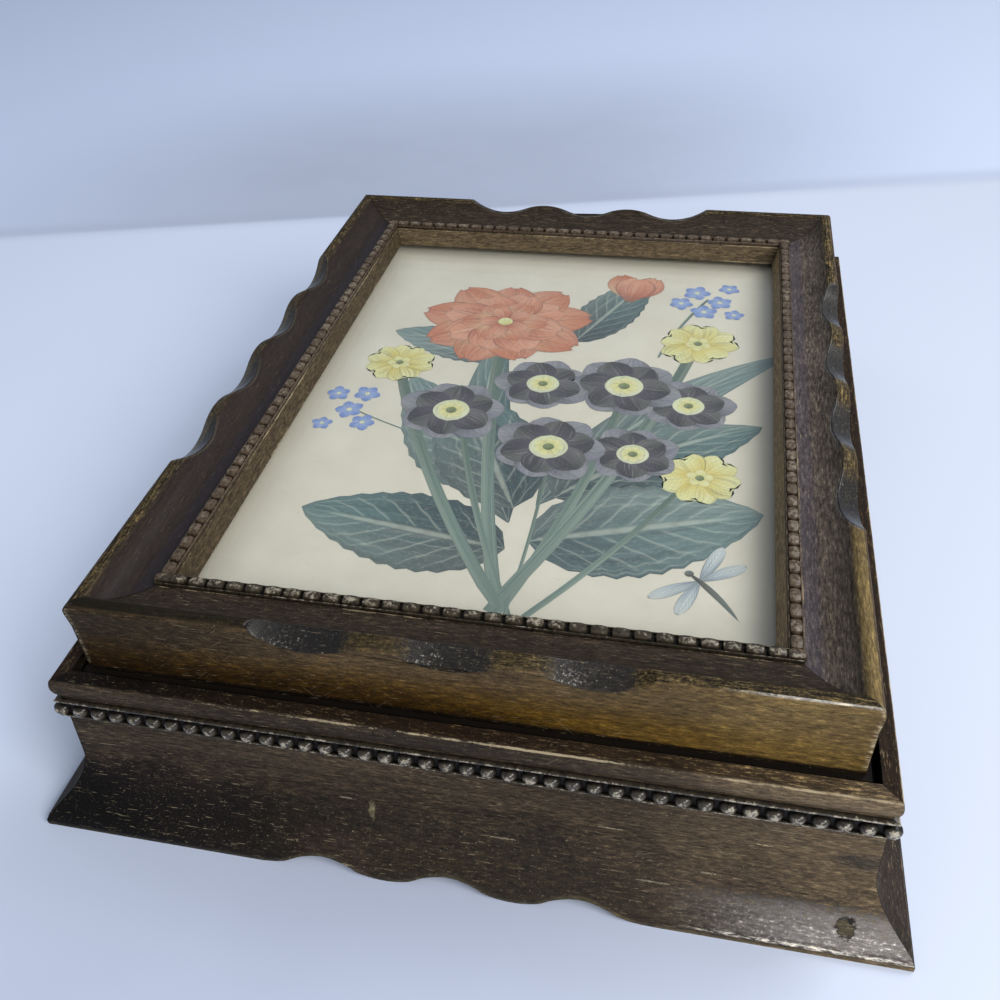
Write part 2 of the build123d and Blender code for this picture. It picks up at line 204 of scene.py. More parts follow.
def modified(obj: Object, kind: str, **settings: Any) -> Object:
    """Add a modifier to an object and apply it.

    Args:
        obj: The object.
        kind: The modifier's type.
        **settings: Its properties.

    Returns:
        The same object.
    """
    take_up(obj)
    modifier = obj.modifiers.new(kind.title(), kind)
    for key, value in settings.items():
        setattr(modifier, key, value)
    bpy.ops.object.modifier_apply(modifier=modifier.name)
    return obj


def thin_grid(name: str, cells: tuple[int, int], size: Point, height: float) -> Object:
    """Lay a flat grid.

    Args:
        name: Its name.
        cells: How many cells it has along X and Y.
        size: Its size along X and Y.
        height: Its place on Z.

    Returns:
        The grid.
    """
    bpy.ops.mesh.primitive_grid_add(x_subdivisions=cells[0], y_subdivisions=cells[1], size=1.0)
    grid = bpy.context.object
    grid.scale = (*size, 1.0)
    grid.location = (0.0, 0.0, height)
    return settled(grid, name)


def thickened(sheet: Object, spread: float, relief: float, thickness: float) -> Object:
    """Make a flat sheet uneven and give it thickness below.

    Args:
        sheet: The flat sheet.
        spread: The size of its swells.
        relief: Their depth.
        thickness: The sheet's thickness.

    Returns:
        The same sheet.
    """
    texture = bpy.data.textures.new(f"{sheet.name}_swells", "CLOUDS")
    texture.noise_scale = spread
    modified(sheet, "DISPLACE", texture=texture, strength=relief, mid_level=1.0)
    return modified(sheet, "SOLIDIFY", thickness=thickness, offset=-1.0)


def added(name: str, data: bpy.types.ID) -> Object:
    """Add an object to the scene.

    Args:
        name: Its name.
        data: Its mesh, camera or lamp.

    Returns:
        The object.
    """
    obj = bpy.data.objects.new(name, data)
    bpy.context.scene.collection.objects.link(obj)
    return obj


def copy_of(pattern: Object, matrix: Matrix) -> Object:
    """Copy an object with a mesh of its own.

    Args:
        pattern: The object to copy.
        matrix: The move of its mesh.

    Returns:
        The copy.
    """
    twin = added(pattern.name, pattern.data.copy())
    twin.data.transform(matrix)
    return twin


def joined(parts: Sequence[Object], name: str) -> Object:
    """Join several objects into one.

    Args:
        parts: The objects; the last one takes up the others.
        name: The new name.

    Returns:
        The joined object.
    """
    take_up(*parts)
    bpy.ops.object.join()
    whole = bpy.context.view_layer.objects.active
    whole.name = whole.data.name = name
    return whole


def discard(*objects: Object) -> None:
    """Remove patterns that were only there to be copied."""
    for obj in objects:
        bpy.data.objects.remove(obj)


def smoothed(obj: Object, degrees: float) -> Object:
    """Shade an object smooth across its slight edges.

    Args:
        obj: The object.
        degrees: Edges that turn less than this.

    Returns:
        The same object.
    """
    take_up(obj)
    bpy.ops.object.shade_smooth_by_angle(angle=math.radians(degrees))
    return obj


def copied_node(node: str, name: str) -> Object:
    """Copy a CAD node's mesh as one merged skin of large faces.

    Args:
        node: The node's name.
        name: The copy's name.

    Returns:
        The copy.
    """
    piece = copy_of(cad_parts[node], Matrix())
    piece.name = piece.data.name = name
    piece.data.materials.clear()
    with editing(piece):
        bpy.ops.mesh.customdata_custom_splitnormals_clear()
        bpy.ops.mesh.remove_doubles(threshold=WELD)
        bpy.ops.mesh.dissolve_limited(angle_limit=FLAT)
    return piece


def dress(obj: Object, finish: Material) -> None:
    """Give a piece or a CAD node that stays in view its only material.

    Args:
        obj: The piece.
        finish: Its material.
    """
    obj.data.materials.clear()
    obj.data.materials.append(finish)
    log.info("%s: dressed in %s", obj.name, finish.name)


def place(
    piece: Object, body: Body, finish: Material, replaces: Sequence[str] = ()
) -> None:
    """Dress a finished piece and let it ride on its body.

    Args:
        piece: The finished mesh, at the origin.
        body: The body that carries it.
        finish: Its material.
        replaces: CAD nodes that it stands for.
    """
    dress(piece, finish)
    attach(piece, body.value)
    if replaces:
        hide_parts(*replaces)


# ---------------------------------------------------------------- shader graphs

Number = Union[float, int, "Value"]
Tone = Union[Colour, Socket]


def toned(colour: Colour, share: float) -> Colour:
    """A colour made darker or lighter."""
    return tuple(channel * share for channel in colour)


def arithmetic(operation: str, swapped: bool = False) -> Callable[..., "Value"]:
    """Make a method of Value that adds a Math node.

    Args:
        operation: The node's operation.
        swapped: Whether the other number goes first.

    Returns:
        The method.
    """

    def method(self: "Value", *others: Number) -> "Value":
        terms = (self, *others)
        return self.graph.math(operation, *(terms[::-1] if swapped else terms))

    return method


class Value:
    """A number in a shader graph. Arithmetic on it adds Math nodes."""

    def __init__(self, graph: "Graph", socket: Socket) -> None:
        """Wrap an output socket of a graph."""
        self.graph = graph
        self.socket = socket

    __add__ = __radd__ = arithmetic("ADD")
    __sub__ = arithmetic("SUBTRACT")
    __rsub__ = arithmetic("SUBTRACT", swapped=True)
    __mul__ = __rmul__ = arithmetic("MULTIPLY")
    __truediv__ = arithmetic("DIVIDE")
    __pow__ = arithmetic("POWER")
    __abs__ = arithmetic("ABSOLUTE")
    __gt__ = arithmetic("GREATER_THAN")
    __lt__ = arithmetic("LESS_THAN")

    def rise(self, low: float, high: float) -> "Value":
        """A smooth step from 0 to 1.

        Args:
            low: Where it is 0; it may be the greater.
            high: Where it is 1.

        Returns:
            The step.
        """
        settings = {"interpolation_type": "SMOOTHSTEP"}
        inputs = {"Value": self, "From Min": low, "From Max": high}
        node = self.graph.node("ShaderNodeMapRange", settings, inputs)
        return Value(self.graph, node.outputs["Result"])

    def between(self, first: Point, second: Point) -> "Value":
        """1 between two soft edges, each from where it starts to where it is full."""
        return self.rise(*first) * self.rise(*second)


class Graph:
    """A material's node tree, built from Python expressions."""

    def __init__(self, name: str) -> None:
        """Start a material with an empty tree and an output node.

        Args:
            name: The material's name.
        """
        self.material = bpy.data.materials.new(name)
        self.material.use_nodes = True
        self.tree = self.material.node_tree
        self.tree.nodes.clear()
        self.output = self.tree.nodes.new("ShaderNodeOutputMaterial")

    def node(
        self,
        kind: str,
        settings: dict[str, Any] | None = None,
        inputs: dict[Any, Any] | None = None,
    ) -> bpy.types.Node:
        """Add a node.

        Args:
            kind: The node's type.
            settings: Its properties, set first.
            inputs: Values, sockets or numbers for its input sockets.

        Returns:
            The new node.
        """
        made = self.tree.nodes.new(kind)
        for key, value in (settings or {}).items():
            setattr(made, key, value)
        for key, value in (inputs or {}).items():
            self._feed(made.inputs[key], value)
        return made

    def _feed(self, socket: Socket, value: Any) -> None:
        """Link a socket to what feeds it, or set its own number.

        Args:
            socket: The input socket.
            value: A value, a socket, a number or a colour.
        """
        if isinstance(value, Value):
            self.tree.links.new(value.socket, socket)
        elif isinstance(value, Socket):
            self.tree.links.new(value, socket)
        elif socket.type == "RGBA":
            socket.default_value = (*value, 1.0)
        else:
            socket.default_value = value

    def math(self, operation: str, *terms: Number) -> Value:
        """Add a Math node.

        Args:
            operation: Its operation.
            *terms: What it works on.

        Returns:
            Its result.
        """
        inputs = dict(enumerate(terms))
        node = self.node("ShaderNodeMath", {"operation": operation}, inputs)
        return Value(self, node.outputs[0])

    def least(self, first: Number, second: Number) -> Value:
        """The smaller of two numbers."""
        return self.math("MINIMUM", first, second)

    def most(self, first: Number, second: Number) -> Value:
        """The greater of two numbers."""
        return self.math("MAXIMUM", first, second)

    def clamped(self, value: Value) -> Value:
        """The value kept from 0 to 1."""
        return self.least(self.most(value, 0.0), 1.0)

    def split(self, vector: Socket) -> Iterator[Value]:
        """The three numbers of a vector."""
        node = self.node("ShaderNodeSeparateXYZ", None, {0: vector})
        return (Value(self, node.outputs[i]) for i in range(3))

    def place(self) -> tuple[Value, ...]:
        """The shaded point in the row frame, in millimetres."""
        here = self.node("ShaderNodeTexCoord").outputs["Object"]
        return tuple(value / MM for value in self.split(here))

    def noise(
        self,
        at: Sequence[Number],
        scale: float = 1.0,
        detail: float = 2.0,
        roughness: float = 0.5,
        distortion: float = 0.0,
    ) -> Value:
        """Add fractal noise.

        Args:
            at: The point it is read at.
            scale: Cells per unit.
            detail: How many finer layers it has.
            roughness: How strong they are.
            distortion: How much it is warped.

        Returns:
            The noise, from 0 to 1.
        """
        inputs = {
            "Vector": self.node("ShaderNodeCombineXYZ", None, dict(enumerate(at))).outputs[0],
            "Scale": scale,
            "Detail": detail,
            "Roughness": roughness,
            "Distortion": distortion,
        }
        return Value(self, self.node("ShaderNodeTexNoise", None, inputs).outputs[0])

    def mix(self, first: Tone, second: Tone, share: Number, blend: str = "MIX") -> Socket:
        """Blend two colours.

        Args:
            first: The colour where share is 0.
            second: The colour where share is 1.
            share: How much of the second.
            blend: The blend type.

        Returns:
            The colour socket.
        """
        settings = {"data_type": "RGBA", "blend_type": blend}
        inputs = {0: share, 6: first, 7: second}
        return self.node("ShaderNodeMix", settings, inputs).outputs[2]

    def shades(self, colour: Colour, low: float, high: float, share: Number) -> Socket:
        """Two shades of one colour, blended from the low share of it to the high one."""
        return self.mix(toned(colour, low), toned(colour, high), share)

    def attribute(self, name: str, output: str) -> Socket:
        """A mesh attribute, read from one output of its node."""
        return self.node("ShaderNodeAttribute", {"attribute_name": name}).outputs[output]

    def bump(self, height: Value, depth: float) -> Socket:
        """A bumped normal; depth is the relief in metres of height 0 to 1."""
        inputs = {"Strength": 1.0, "Distance": depth, "Height": height}
        return self.node("ShaderNodeBump", None, inputs).outputs[0]

    def finish(self, shader: bpy.types.Node) -> Material:
        """Send a shader to the output and return the material."""
        self.tree.links.new(shader.outputs[0], self.output.inputs[0])
        return self.material

    def principled(self, **inputs: Any) -> Material:
        """Finish with a Principled shader; underscores in its inputs stand for spaces."""
        named = {key.replace("_", " "): value for key, value in inputs.items()}
        return self.finish(self.node("ShaderNodeBsdfPrincipled", None, named))


class Paint:
    """A colour that is built up in layers."""

    def __init__(self, g: Graph, ground: Tone) -> None:
        """Start from the ground colour."""
        self.g = g
        self.colour = ground

    def lay(self, tone: Tone, share: Number, blend: str = "MIX") -> None:
        """Lay one more colour over it."""
        self.colour = self.g.mix(self.colour, tone, share, blend)


@dataclass(frozen=True)
class MouldingPlace:
    """Where a shaded point lies on the mouldings, in millimetres."""

    g: Graph
    along: Value
    out: Value  # outside the lip line
    height: Value  # above the table
    mitre: Value  # from the nearest mitre
    front: Value  # 1 on the front side
    left: Value  # 1 on the left side
    right: Value  # 1 on the right side
    on_long: Value  # 1 on the left and right sides
    seed: Value  # a number of its own for each side

    @classmethod
    def of(cls, g: Graph) -> "MouldingPlace":
        """Work out the moulding coordinates in a graph.

        Args:
            g: The material's graph.

        Returns:
            The shaded point's place.
        """
        x, y, z = g.place()
        past_x = abs(x) - LIP_HALF_WIDTH / MM
        past_y = abs(y) - LIP_HALF_DEPTH / MM
        on_long = past_x > past_y
        right = on_long * (x > 0)
        return cls(
            g=g,
            along=x + (y - x) * on_long,
            out=g.most(past_x, past_y),
            height=z,
            mitre=abs(past_x - past_y),
            front=(1 - on_long) * (y < 0),
            left=on_long * (x < 0),
            right=right,
            on_long=on_long,
            # Any numbers do, as long as the four sides differ
            seed=on_long * 13.7 + right * 5.3 + (y > 0) * 3.9 * (1 - on_long),
        )

    def noise(self, run: Value, reach: float, fine: float, *settings: float) -> Value:
        """Noise stretched along the side: cells per mm along it and across it, then settings."""
        return self.g.noise((run * reach, self.out * fine, self.height * fine), 1.0, *settings)


# ---------------------------------------------------------------- finishes


@dataclass(frozen=True)
class Arris:
    """An edge of a moulding's profile, in mm, and how badly it is rubbed."""

    out: float
    height: float
    spread: float
    wear: float
    kept: float = 0.0  # how much less it is rubbed at the front's left end


@dataclass(frozen=True)
class Grain(MouldingPlace):
    """A place on a wooden moulding with its noise fields, each about 0 to 1."""

    run: Value  # along the grain, in mm, other wood on each side
    figure: Value
    streak: Value
    pore: Value
    blotch: Value
    patch: Value
    speck: Value
    grime: Value

    @classmethod
    def of(cls, g: Graph) -> "Grain":
        """Lay the grain along each side of the moulding.

        Args:
            g: The material's graph.

        Returns:
            The place with its noise fields.
        """
        at = MouldingPlace.of(g)
        run = at.along + at.seed * 53.0
        around = (run, at.out, at.height)
        return cls(
            **vars(at),
            run=run,
            figure=at.noise(run, 0.02, 0.4, 5.0, 0.62, 0.6),
            streak=at.noise(run, 0.11, 2.7, 4.0, 0.62),
            pore=at.noise(run, 0.45, 7.0, 2.0, 0.5),
            blotch=g.noise(around, 0.06, 5.0, 0.62),
            patch=g.noise(around, 0.03, 2.0, 0.5),
            speck=g.noise(around, 1.3, 4.0, 0.7),
            grime=at.noise(run, 0.36, 1.5, 6.0, 0.78),
        )


# Families of scratches: tilt, cells per mm along and across, noise cut and strength
SCRATCHES = (
    (0.02, 0.26, 3.2, 0.645, 0.80),
    (0.75, 0.07, 3.2, 0.680, 0.60),
    (-0.85, 0.07, 3.2, 0.685, 0.60),
    (0.35, 0.12, 3.0, 0.695, 0.70),
)


@dataclass(frozen=True)
class StainedWood:
    """Stained moulding with a coat of wax: grain, pores, scratches and rubbed arrises."""

    name: str
    shade: Colour
    stain: Colour
    rubbed: Colour
    # colour of the painted light on the front's right end
    right_end_light: Colour
    arrises: tuple[Arris, ...]
    pores: Colour = (0.004, 0.003, 0.003)
    dirt: Colour = (0.30, 0.28, 0.26)
    bloom: Colour = (3.2, 3.1, 2.7)
    # colour of the painted shade on the front's left end
    left_end_shade: Colour = (0.003, 0.002, 0.0015)
    gap: Colour = (0.006, 0.004, 0.003)
    specular: float = 0.12
    wax_roughness: float = 0.22
    relief_depth: float = 0.17 * MM
    carving_pitch: float = 31.5
    open_mitre: float = 0.0  # mm that the front's left mitre has opened to each side

    def carving(self, at: Grain) -> tuple[Value, Value]:
        """Follow the carving along a side.

        Args:
            at: The point on the moulding.

        Returns:
            0 in a hollow and 1 on a ridge, and mm past the carving's ends.
        """
        phase = (at.along / self.carving_pitch + at.on_long * 0.5) * (2 * math.pi)
        last = at.on_long * (self.carving_pitch / 2) + self.carving_pitch
        crest = (1 - at.g.math("COSINE", phase)) * 0.5
        return crest, at.g.most(abs(at.along) - last, 0.0)

    def zones(self, at: Grain, paint: Paint) -> tuple[Value, Value]:
        """Colour the parts of the profile.

        Args:
            at: Where the point lies on the moulding.
            paint: The wood's colour, to be painted over.

        Returns:
            The gloss from 0 to 1 and a relief to add.
        """
        raise NotImplementedError

    def calm(self, at: Grain) -> Number:
        """How far grime and scratches keep away from a zone, from 0 to 1."""
        return 0.0

    def material(self) -> Material:
        """Build the wood's material.

        Returns:
            The material.
        """
        g = Graph(self.name)
        at = Grain.of(g)
        soiled = 1 - self.calm(at)
        tone = g.clamped((at.figure - 0.36) * 1.7 + (at.streak - 0.5) * 1.9)
        paint = Paint(g, g.mix(self.shade, self.stain, tone))
        gloss, relief = self.zones(at, paint)
        paint.lay(self.pores, at.pore.rise(0.60, 0.69) * 0.5)
        paint.lay(self.dirt, at.grime.rise(0.54, 0.36) * 0.75 * soiled, "MULTIPLY")
        paint.lay(self.bloom, at.grime.rise(0.51, 0.72) * 0.75 * soiled, "MULTIPLY")

        rub, scratch = self._rub(at), self._scratches(at)
        paint.lay(self.rubbed, g.clamped(rub + scratch * soiled))
        corner = (at.along < 0) * g.most(at.front, at.left)
        opened = corner * at.grime.rise(0.30, 0.62) * self.open_mitre
        joint = (at.mitre - opened).rise(0.13, 0.04)
        paint.lay(self.gap, joint * 0.8)

        worn = g.clamped(rub + scratch * 0.5)
        relief = relief + at.streak * 0.4 + at.pore * 0.3 + at.speck * 0.35
        return g.principled(
            Base_Color=paint.colour,
            Roughness=g.clamped(0.62 - gloss * 0.30 + worn * 0.15 + (at.blotch - 0.5) * 0.2),
            Specular_IOR_Level=self.specular,
            Coat_Weight=g.clamped(gloss * 0.55 - worn * 0.3),
            Coat_Roughness=self.wax_roughness,
            Normal=g.bump(relief - joint * 0.8 - scratch * 0.3, self.relief_depth),
        )

    def aged(self, at: Grain, paint: Paint, dimmed: Value, right_end_light: Value) -> None:
        """Paint the front darker at its left end and lighter at its right end: painted shade and
        painted light, as the light falls from the right.

        Args:
            at: Where the point lies on the moulding.
            paint: The colour so far.
            dimmed: How strongly the left end is darkened with painted shade.
            right_end_light: How strongly the right end is lightened with painted light.
        """
        along = at.along + (at.patch - 0.5) * 70.0
        paint.lay(self.left_end_shade, along.rise(-5.0, -100.0) * at.front * dimmed)
        pale = along.rise(5.0, 110.0) * at.front * right_end_light * (0.45 + at.streak)
        paint.lay(self.right_end_light, at.g.clamped(pale))

    def _rub(self, at: Grain) -> Value:
        """Rub the finish through along the arrises.

        Args:
            at: The point on the moulding.

        Returns:
            How far it is rubbed through, from 0 to 1.
        """
        shares = []
        for arris in self.arrises:
            across, up = at.out - arris.out, at.height - arris.height
            near = (across * across + up * up).rise(arris.spread**2, 0.0) * arris.wear
            shares.append(near * (1 - at.along.rise(10.0, -100.0) * at.front * arris.kept))
        worn = reduce(at.g.most, shares)
        broken = at.g.noise((at.run * 0.22, at.out, at.height), 1.0, 5.0, 0.72)
        share = worn * 0.7 + (broken - 0.5) * 1.1 + (at.patch - 0.5) * 0.8
        return (share + (at.speck - 0.5) * 0.4).rise(0.40, 0.66) * (worn > 0.03) * 0.85

    def _scratches(self, at: Grain) -> Value:
        """Scratch the finish, most along the grain and some across it.

        Args:
            at: The point on the moulding.

        Returns:
            How strong the scratches are, from 0 to 1.
        """
        marks = []
        for tilt, reach, fine, cut, strength in SCRATCHES:
            along = at.run * math.cos(tilt) + at.height * math.sin(tilt)
            across = at.height * math.cos(tilt) - at.run * math.sin(tilt)
            track = (along * reach + tilt * 31.0, across * fine, at.out * fine)
            marks.append(at.g.noise(track, 1.0, 2.5, 0.55).rise(cut, cut + 0.05) * strength)
        fleck = at.speck.rise(0.645, 0.71) * 0.9
        total = reduce(at.g.most, marks) * at.patch.rise(0.26, 0.58)
        return at.g.most(total, fleck) * 0.62


@dataclass(frozen=True)
class LidWood(StainedWood):
    """The lid's moulding: amber side, plum scoop, warm bevel and glazed hollows."""

    amber: Colour = (0.127, 0.064, 0.003)
    umber: Colour = (0.082, 0.054, 0.026)
    burnt: Colour = (0.012, 0.005, 0.0005)
    # near black at the lid's foot: painted shadow where the lid stands in the base, with some dirt
    foot: Colour = (0.005, 0.003, 0.002)
    worn_lip: Colour = (0.135, 0.095, 0.038)
    lip_line: Colour = (0.105, 0.092, 0.075)
    # painted highlight along the front lip's crest
    lip_highlight: Colour = (0.42, 0.385, 0.335)
    plum: Colour = (0.021, 0.0148, 0.0105)
    left_plum: Colour = (0.0115, 0.0075, 0.0095)
    # painted sheen of the pale sky on the right scoop
    grey_sheen: Colour = (0.150, 0.121, 0.098)
    # painted purple-grey sheen on the scoops of the long sides, darker at the left
    left_sheen: Colour = (0.014, 0.011, 0.015)
    right_sheen: Colour = (0.048, 0.039, 0.050)
    bevel: Colour = (0.150, 0.108, 0.060)
    glaze: Colour = (0.007, 0.006, 0.005)
    left_glaze: Colour = (0.062, 0.052, 0.031)
    glint: Colour = (0.38, 0.36, 0.33)
    # the next two: a painted highlight along the rims of the hollows, grey, and golden on the left
    # side
    rim: Colour = (0.13, 0.125, 0.115)
    left_rim: Colour = (0.075, 0.064, 0.038)
    chip: Colour = (0.30, 0.25, 0.17)
    # Soft edges of the zones, from where each starts to where it is full, in mm outside
    # the lip line and, for heights, above the table
    side_edge: Point = (-1.1, -0.5)
    lip_edges: tuple[Point, Point] = ((-4.0, -3.3), (-0.55, -0.95))
    clean_lip_edges: tuple[Point, Point] = ((-4.6, -3.6), (-0.4, -0.8))
    scoop_edges: tuple[Point, Point] = ((-3.2, -4.6), (-15.0, -14.0))
    sheen_edge: Point = (-9.6, -11.6)
    bevel_edge: Point = (-17.5, -18.1)
    lip_height: Point = (61.0, 62.6)
    amber_height: Point = (60.5, 48.0)
    foot_height: Point = (46.4, 45.4)
    lip_foot: float = 60.5
    lip_middle: float = -0.85
    inner_line: float = -4.2
    hollow_wave: float = 2.9
    hollow_drop: float = 4.2
    hollow_slope: float = math.radians(26.0)
    end_arc: float = 22.1

    def _scoop(self, at: Grain) -> Value:
        """1 in the scoop between the lip and the beads."""
        return at.out.between(*self.scoop_edges)

    def calm(self, at: Grain) -> Number:
        """Keep the left scoop and the lip at the front's left end clean and dark.

        Args:
            at: The point on the moulding.

        Returns:
            How clean the point stays, from 0 to 1.
        """
        lip = at.out.between(*self.clean_lip_edges) * (at.height > self.lip_foot)
        lip = lip * at.front * at.along.rise(20.0, -50.0)
        return self._scoop(at) * at.left * 0.7 + lip * 0.85

    def _side(self, at: Grain, paint: Paint, lines: Value) -> None:
        """Colour the upright side: umber above, amber below, darker at the foot with painted
        shadow and some dirt.

        Args:
            at: The point on the moulding.
            paint: The colour so far.
            lines: The grain's pale lines.
        """
        g = at.g
        side = at.out.rise(*self.side_edge)
        paint.lay(g.shades(self.umber, 0.55, 1.0, lines), side * 0.9)
        amber = g.shades(self.amber, 0.45, 1.0, lines)
        low = g.clamped(at.height.rise(*self.amber_height) * 1.1 + (at.blotch - 0.5) * 0.8)
        paint.lay(amber, side * low * 0.9)
        # Painted shade at the front's left end and painted light at its right end
        self.aged(at, paint, side * 0.62, side * 0.6)
        front = side * at.front
        # Darker towards the bottom of the front, most at the left end
        sunk = at.height + (at.grime - 0.5) * 8.0 + at.along.rise(-20.0, 60.0) * 12.0
        paint.lay(self.burnt, front * sunk.rise(57.0, 48.0) * 0.8)
        upper = front * at.height.rise(54.0, 60.0) * abs(at.along).rise(60.0, 20.0)
        paint.lay((1.3, 1.3, 1.3), upper, "MULTIPLY")
        paint.lay((0.78, 0.78, 0.78), front * at.along.rise(68.0, 88.0), "MULTIPLY")
        # Near black at the foot: painted shadow above the slot, with some dirt
        paint.lay(self.foot, side * at.height.rise(*self.foot_height) * 0.95)

    def _lip(self, at: Grain, paint: Paint) -> Value:
        """Colour the worn lip, the line inside it and a painted highlight along its crest.

        Args:
            at: The point on the moulding.
            paint: The colour so far.

        Returns:
            The painted highlight along the crest.
        """
        g = at.g
        inner, outer = self.lip_edges
        lip = (at.out + at.right * 2.2).rise(*inner) * at.out.rise(*outer)
        lip = lip * at.height.rise(*self.lip_height)
        tan = (at.speck * 0.8 + at.streak * 0.9 + at.grime * 0.5).rise(0.96, 1.42)
        tan = tan * g.most(1 - at.front, at.along.rise(-90.0, 60.0))
        back_end = at.right * at.along.rise(-20.0, -85.0)
        tan = g.most(tan, back_end * (at.streak + at.speck * 0.4))
        gold = g.shades(self.worn_lip, 1.0, 1.7, at.right)
        paint.lay(g.mix(toned(self.worn_lip, 0.04), gold, tan), lip * 0.92)
        line = abs(at.out - self.inner_line).rise(0.50, 0.12) * at.front * (at.streak + at.speck)
        paint.lay(self.lip_line, line * at.along.rise(80.0, -20.0) * 0.6)
        # A painted highlight: a broken pale line along the crest at the front's right end
        broken = (at.speck + at.streak).rise(0.72, 0.98)
        lip_highlight = abs(at.out - self.lip_middle).rise(0.32, 0.10) * (at.height > 64.0)
        lip_highlight = lip_highlight * at.front * broken
        lip_highlight = lip_highlight * (at.along + (at.patch - 0.5) * 24.0).rise(54.0, 74.0)
        paint.lay(self.lip_highlight, lip_highlight * 0.8)
        return lip_highlight

    def _dish(self, at: Grain, paint: Paint, lines: Value) -> Value:
        """Colour the scoop and the bevel inside the beads, with painted sheen on the scoop and
        painted light and shade on the bevel.

        Args:
            at: The point on the moulding.
            paint: The colour so far.
            lines: The grain's pale lines.

        Returns:
            The scoop's gloss.
        """
        g = at.g
        scoop = self._scoop(at)
        plum = g.shades(self.plum, 1.0, 2.3, lines * 0.8)
        paint.lay(g.mix(plum, self.left_plum, at.left * 0.6), scoop * 0.88)
        # Painted sheen: the right scoop is laid lighter grey in patches where it mirrors the pale
        # sky
        sheen_patches = at.blotch * 0.5 + at.grime * 0.5
        sheen_patches = sheen_patches.rise(0.2, 0.8) * (0.78 + at.along.rise(-90.0, 20.0) * 0.35)
        paint.lay(self.grey_sheen, g.clamped(scoop * at.right * sheen_patches))
        # Painted sheen: purple-grey reflections of the room on the inner part of the long sides'
        # scoops
        sheen_band = scoop * at.out.rise(*self.sheen_edge) * at.on_long
        paint.lay(self.left_sheen, sheen_band * at.left * 0.7)
        paint.lay(self.right_sheen, sheen_band * at.right * 0.7)
        warm = g.shades(self.bevel, 0.5, 1.0, lines)
        # Painted light and shade: the bevel is laid lighter on the right side and darker on the
        # left side
        warm = g.mix(warm, toned(self.bevel, 1.9), at.right * 0.75)
        warm = g.mix(warm, toned(self.bevel, 0.25), at.left * 0.75)
        paint.lay(warm, at.out.rise(*self.bevel_edge) * 0.9)
        return scoop * 0.06 + sheen_band * 0.25

    def _hollows(self, at: Grain) -> tuple[Value, Value, Value]:
        """Find the gouged hollows.

        Args:
            at: The point on the moulding.

        Returns:
            The gouged surface, the glazed hollows between its crests, and their rim.
        """
        g = at.g
        low = LIP_Z / MM - self.hollow_drop
        across = at.out * math.sin(self.hollow_slope)
        level = across + (at.height - low) * math.cos(self.hollow_slope)
        crest, beyond = self.carving(at)
        crest = crest * (beyond < 0.01)
        ripple = g.most(crest * self.hollow_wave, beyond * beyond * (0.56 / self.end_arc))
        off = abs(level - ripple)
        gouged = off.rise(0.40, 0.14) * (at.out > -9.0) * (at.height > 59.0)
        closed = (at.along > 0) * at.front * beyond.rise(6.0, 11.0)
        ragged = g.most(crest, closed) + (at.speck - 0.5) * 0.7 + (at.blotch - 0.5) * 0.5
        rim = abs(off - 0.55).rise(0.35, 0.10) * (at.out < -1.2) * (at.height > self.lip_foot)
        rim = rim * crest.rise(0.85, 0.5) * (1 - closed)
        return gouged * (1 - closed * 0.75), ragged.rise(0.94, 0.46), rim

    def _glaze(self, at: Grain) -> Socket:
        """Colour the glaze, golden at the left and with glints at the front.

        Args:
            at: The point on the moulding.

        Returns:
            The glaze's colour.
        """
        g = at.g
        glaze = g.shades(self.glaze, 1.0, 2.3, at.along.rise(-45.0, 30.0))
        glaze = g.mix(glaze, self.left_glaze, at.left * at.out.rise(-3.4, -1.2) * 0.85)
        wave = g.math("SINE", at.along * (2 * math.pi / self.carving_pitch))
        sheen = wave.rise(0.35, -0.75) * at.height.rise(64.2, 61.8) * at.front
        sheen = sheen * (0.45 + at.along.rise(-50.0, 20.0) * 0.55)
        glint = (at.speck + (at.grime - 0.5) * 0.35 + sheen * 0.11).rise(0.62, 0.76)
        return g.mix(glaze, self.glint, glint * (0.35 + sheen * 0.4))

    def zones(self, at: Grain, paint: Paint) -> tuple[Value, Value]:
        """Colour the side, lip, scoop, bevel and hollows.

        Args:
            at: The point on the moulding.
            paint: The colour so far.

        Returns:
            The gloss and the relief.
        """
        g = at.g
        lines = g.clamped((at.streak - 0.34) * 1.9 + (at.figure - 0.5) * 0.8)
        self._side(at, paint, lines)
        lip_highlight = self._lip(at, paint)
        gloss = self._dish(at, paint, lines)
        gouged, hollow, rim = self._hollows(at)
        mottle = (at.speck * 0.9 + at.streak * 0.5 + at.grime * 0.6).rise(0.78, 1.30)
        crest = g.shades(self.worn_lip, 0.25, 1.0, mottle * 0.45)
        # Painted highlight along the rims of the hollows
        paint.lay(g.mix(self.rim, self.left_rim, at.left), rim * (0.35 + at.right * 0.3))
        paint.lay(g.mix(crest, self._glaze(at), hollow), gouged * (hollow * 0.55 + 0.4))
        chipped = at.mitre.rise(1.5, 0.3) * at.out.rise(-1.6, -0.6)
        chipped = chipped * (at.grime * 0.8 + at.speck * 0.5).rise(0.58, 0.74)
        paint.lay(self.chip, chipped * (at.height > 46.5) * 0.7)
        pebble = g.noise((at.run, at.out, at.height), 1.1, 2.0, 0.5)
        gloss = gloss + gouged * hollow * 0.62 + lip_highlight * 0.8 + rim * 0.3
        return gloss, pebble * gouged * 1.6


@dataclass(frozen=True)
class Blemish:
    """A dent or chip on the front of the base, in mm along and above the table."""

    along: float
    height: float
    half_length: float
    half_height: float
    colour: Colour
    ring: float = 0.0  # how dark its edge is
    soft: float = 0.0  # how far its edge fades


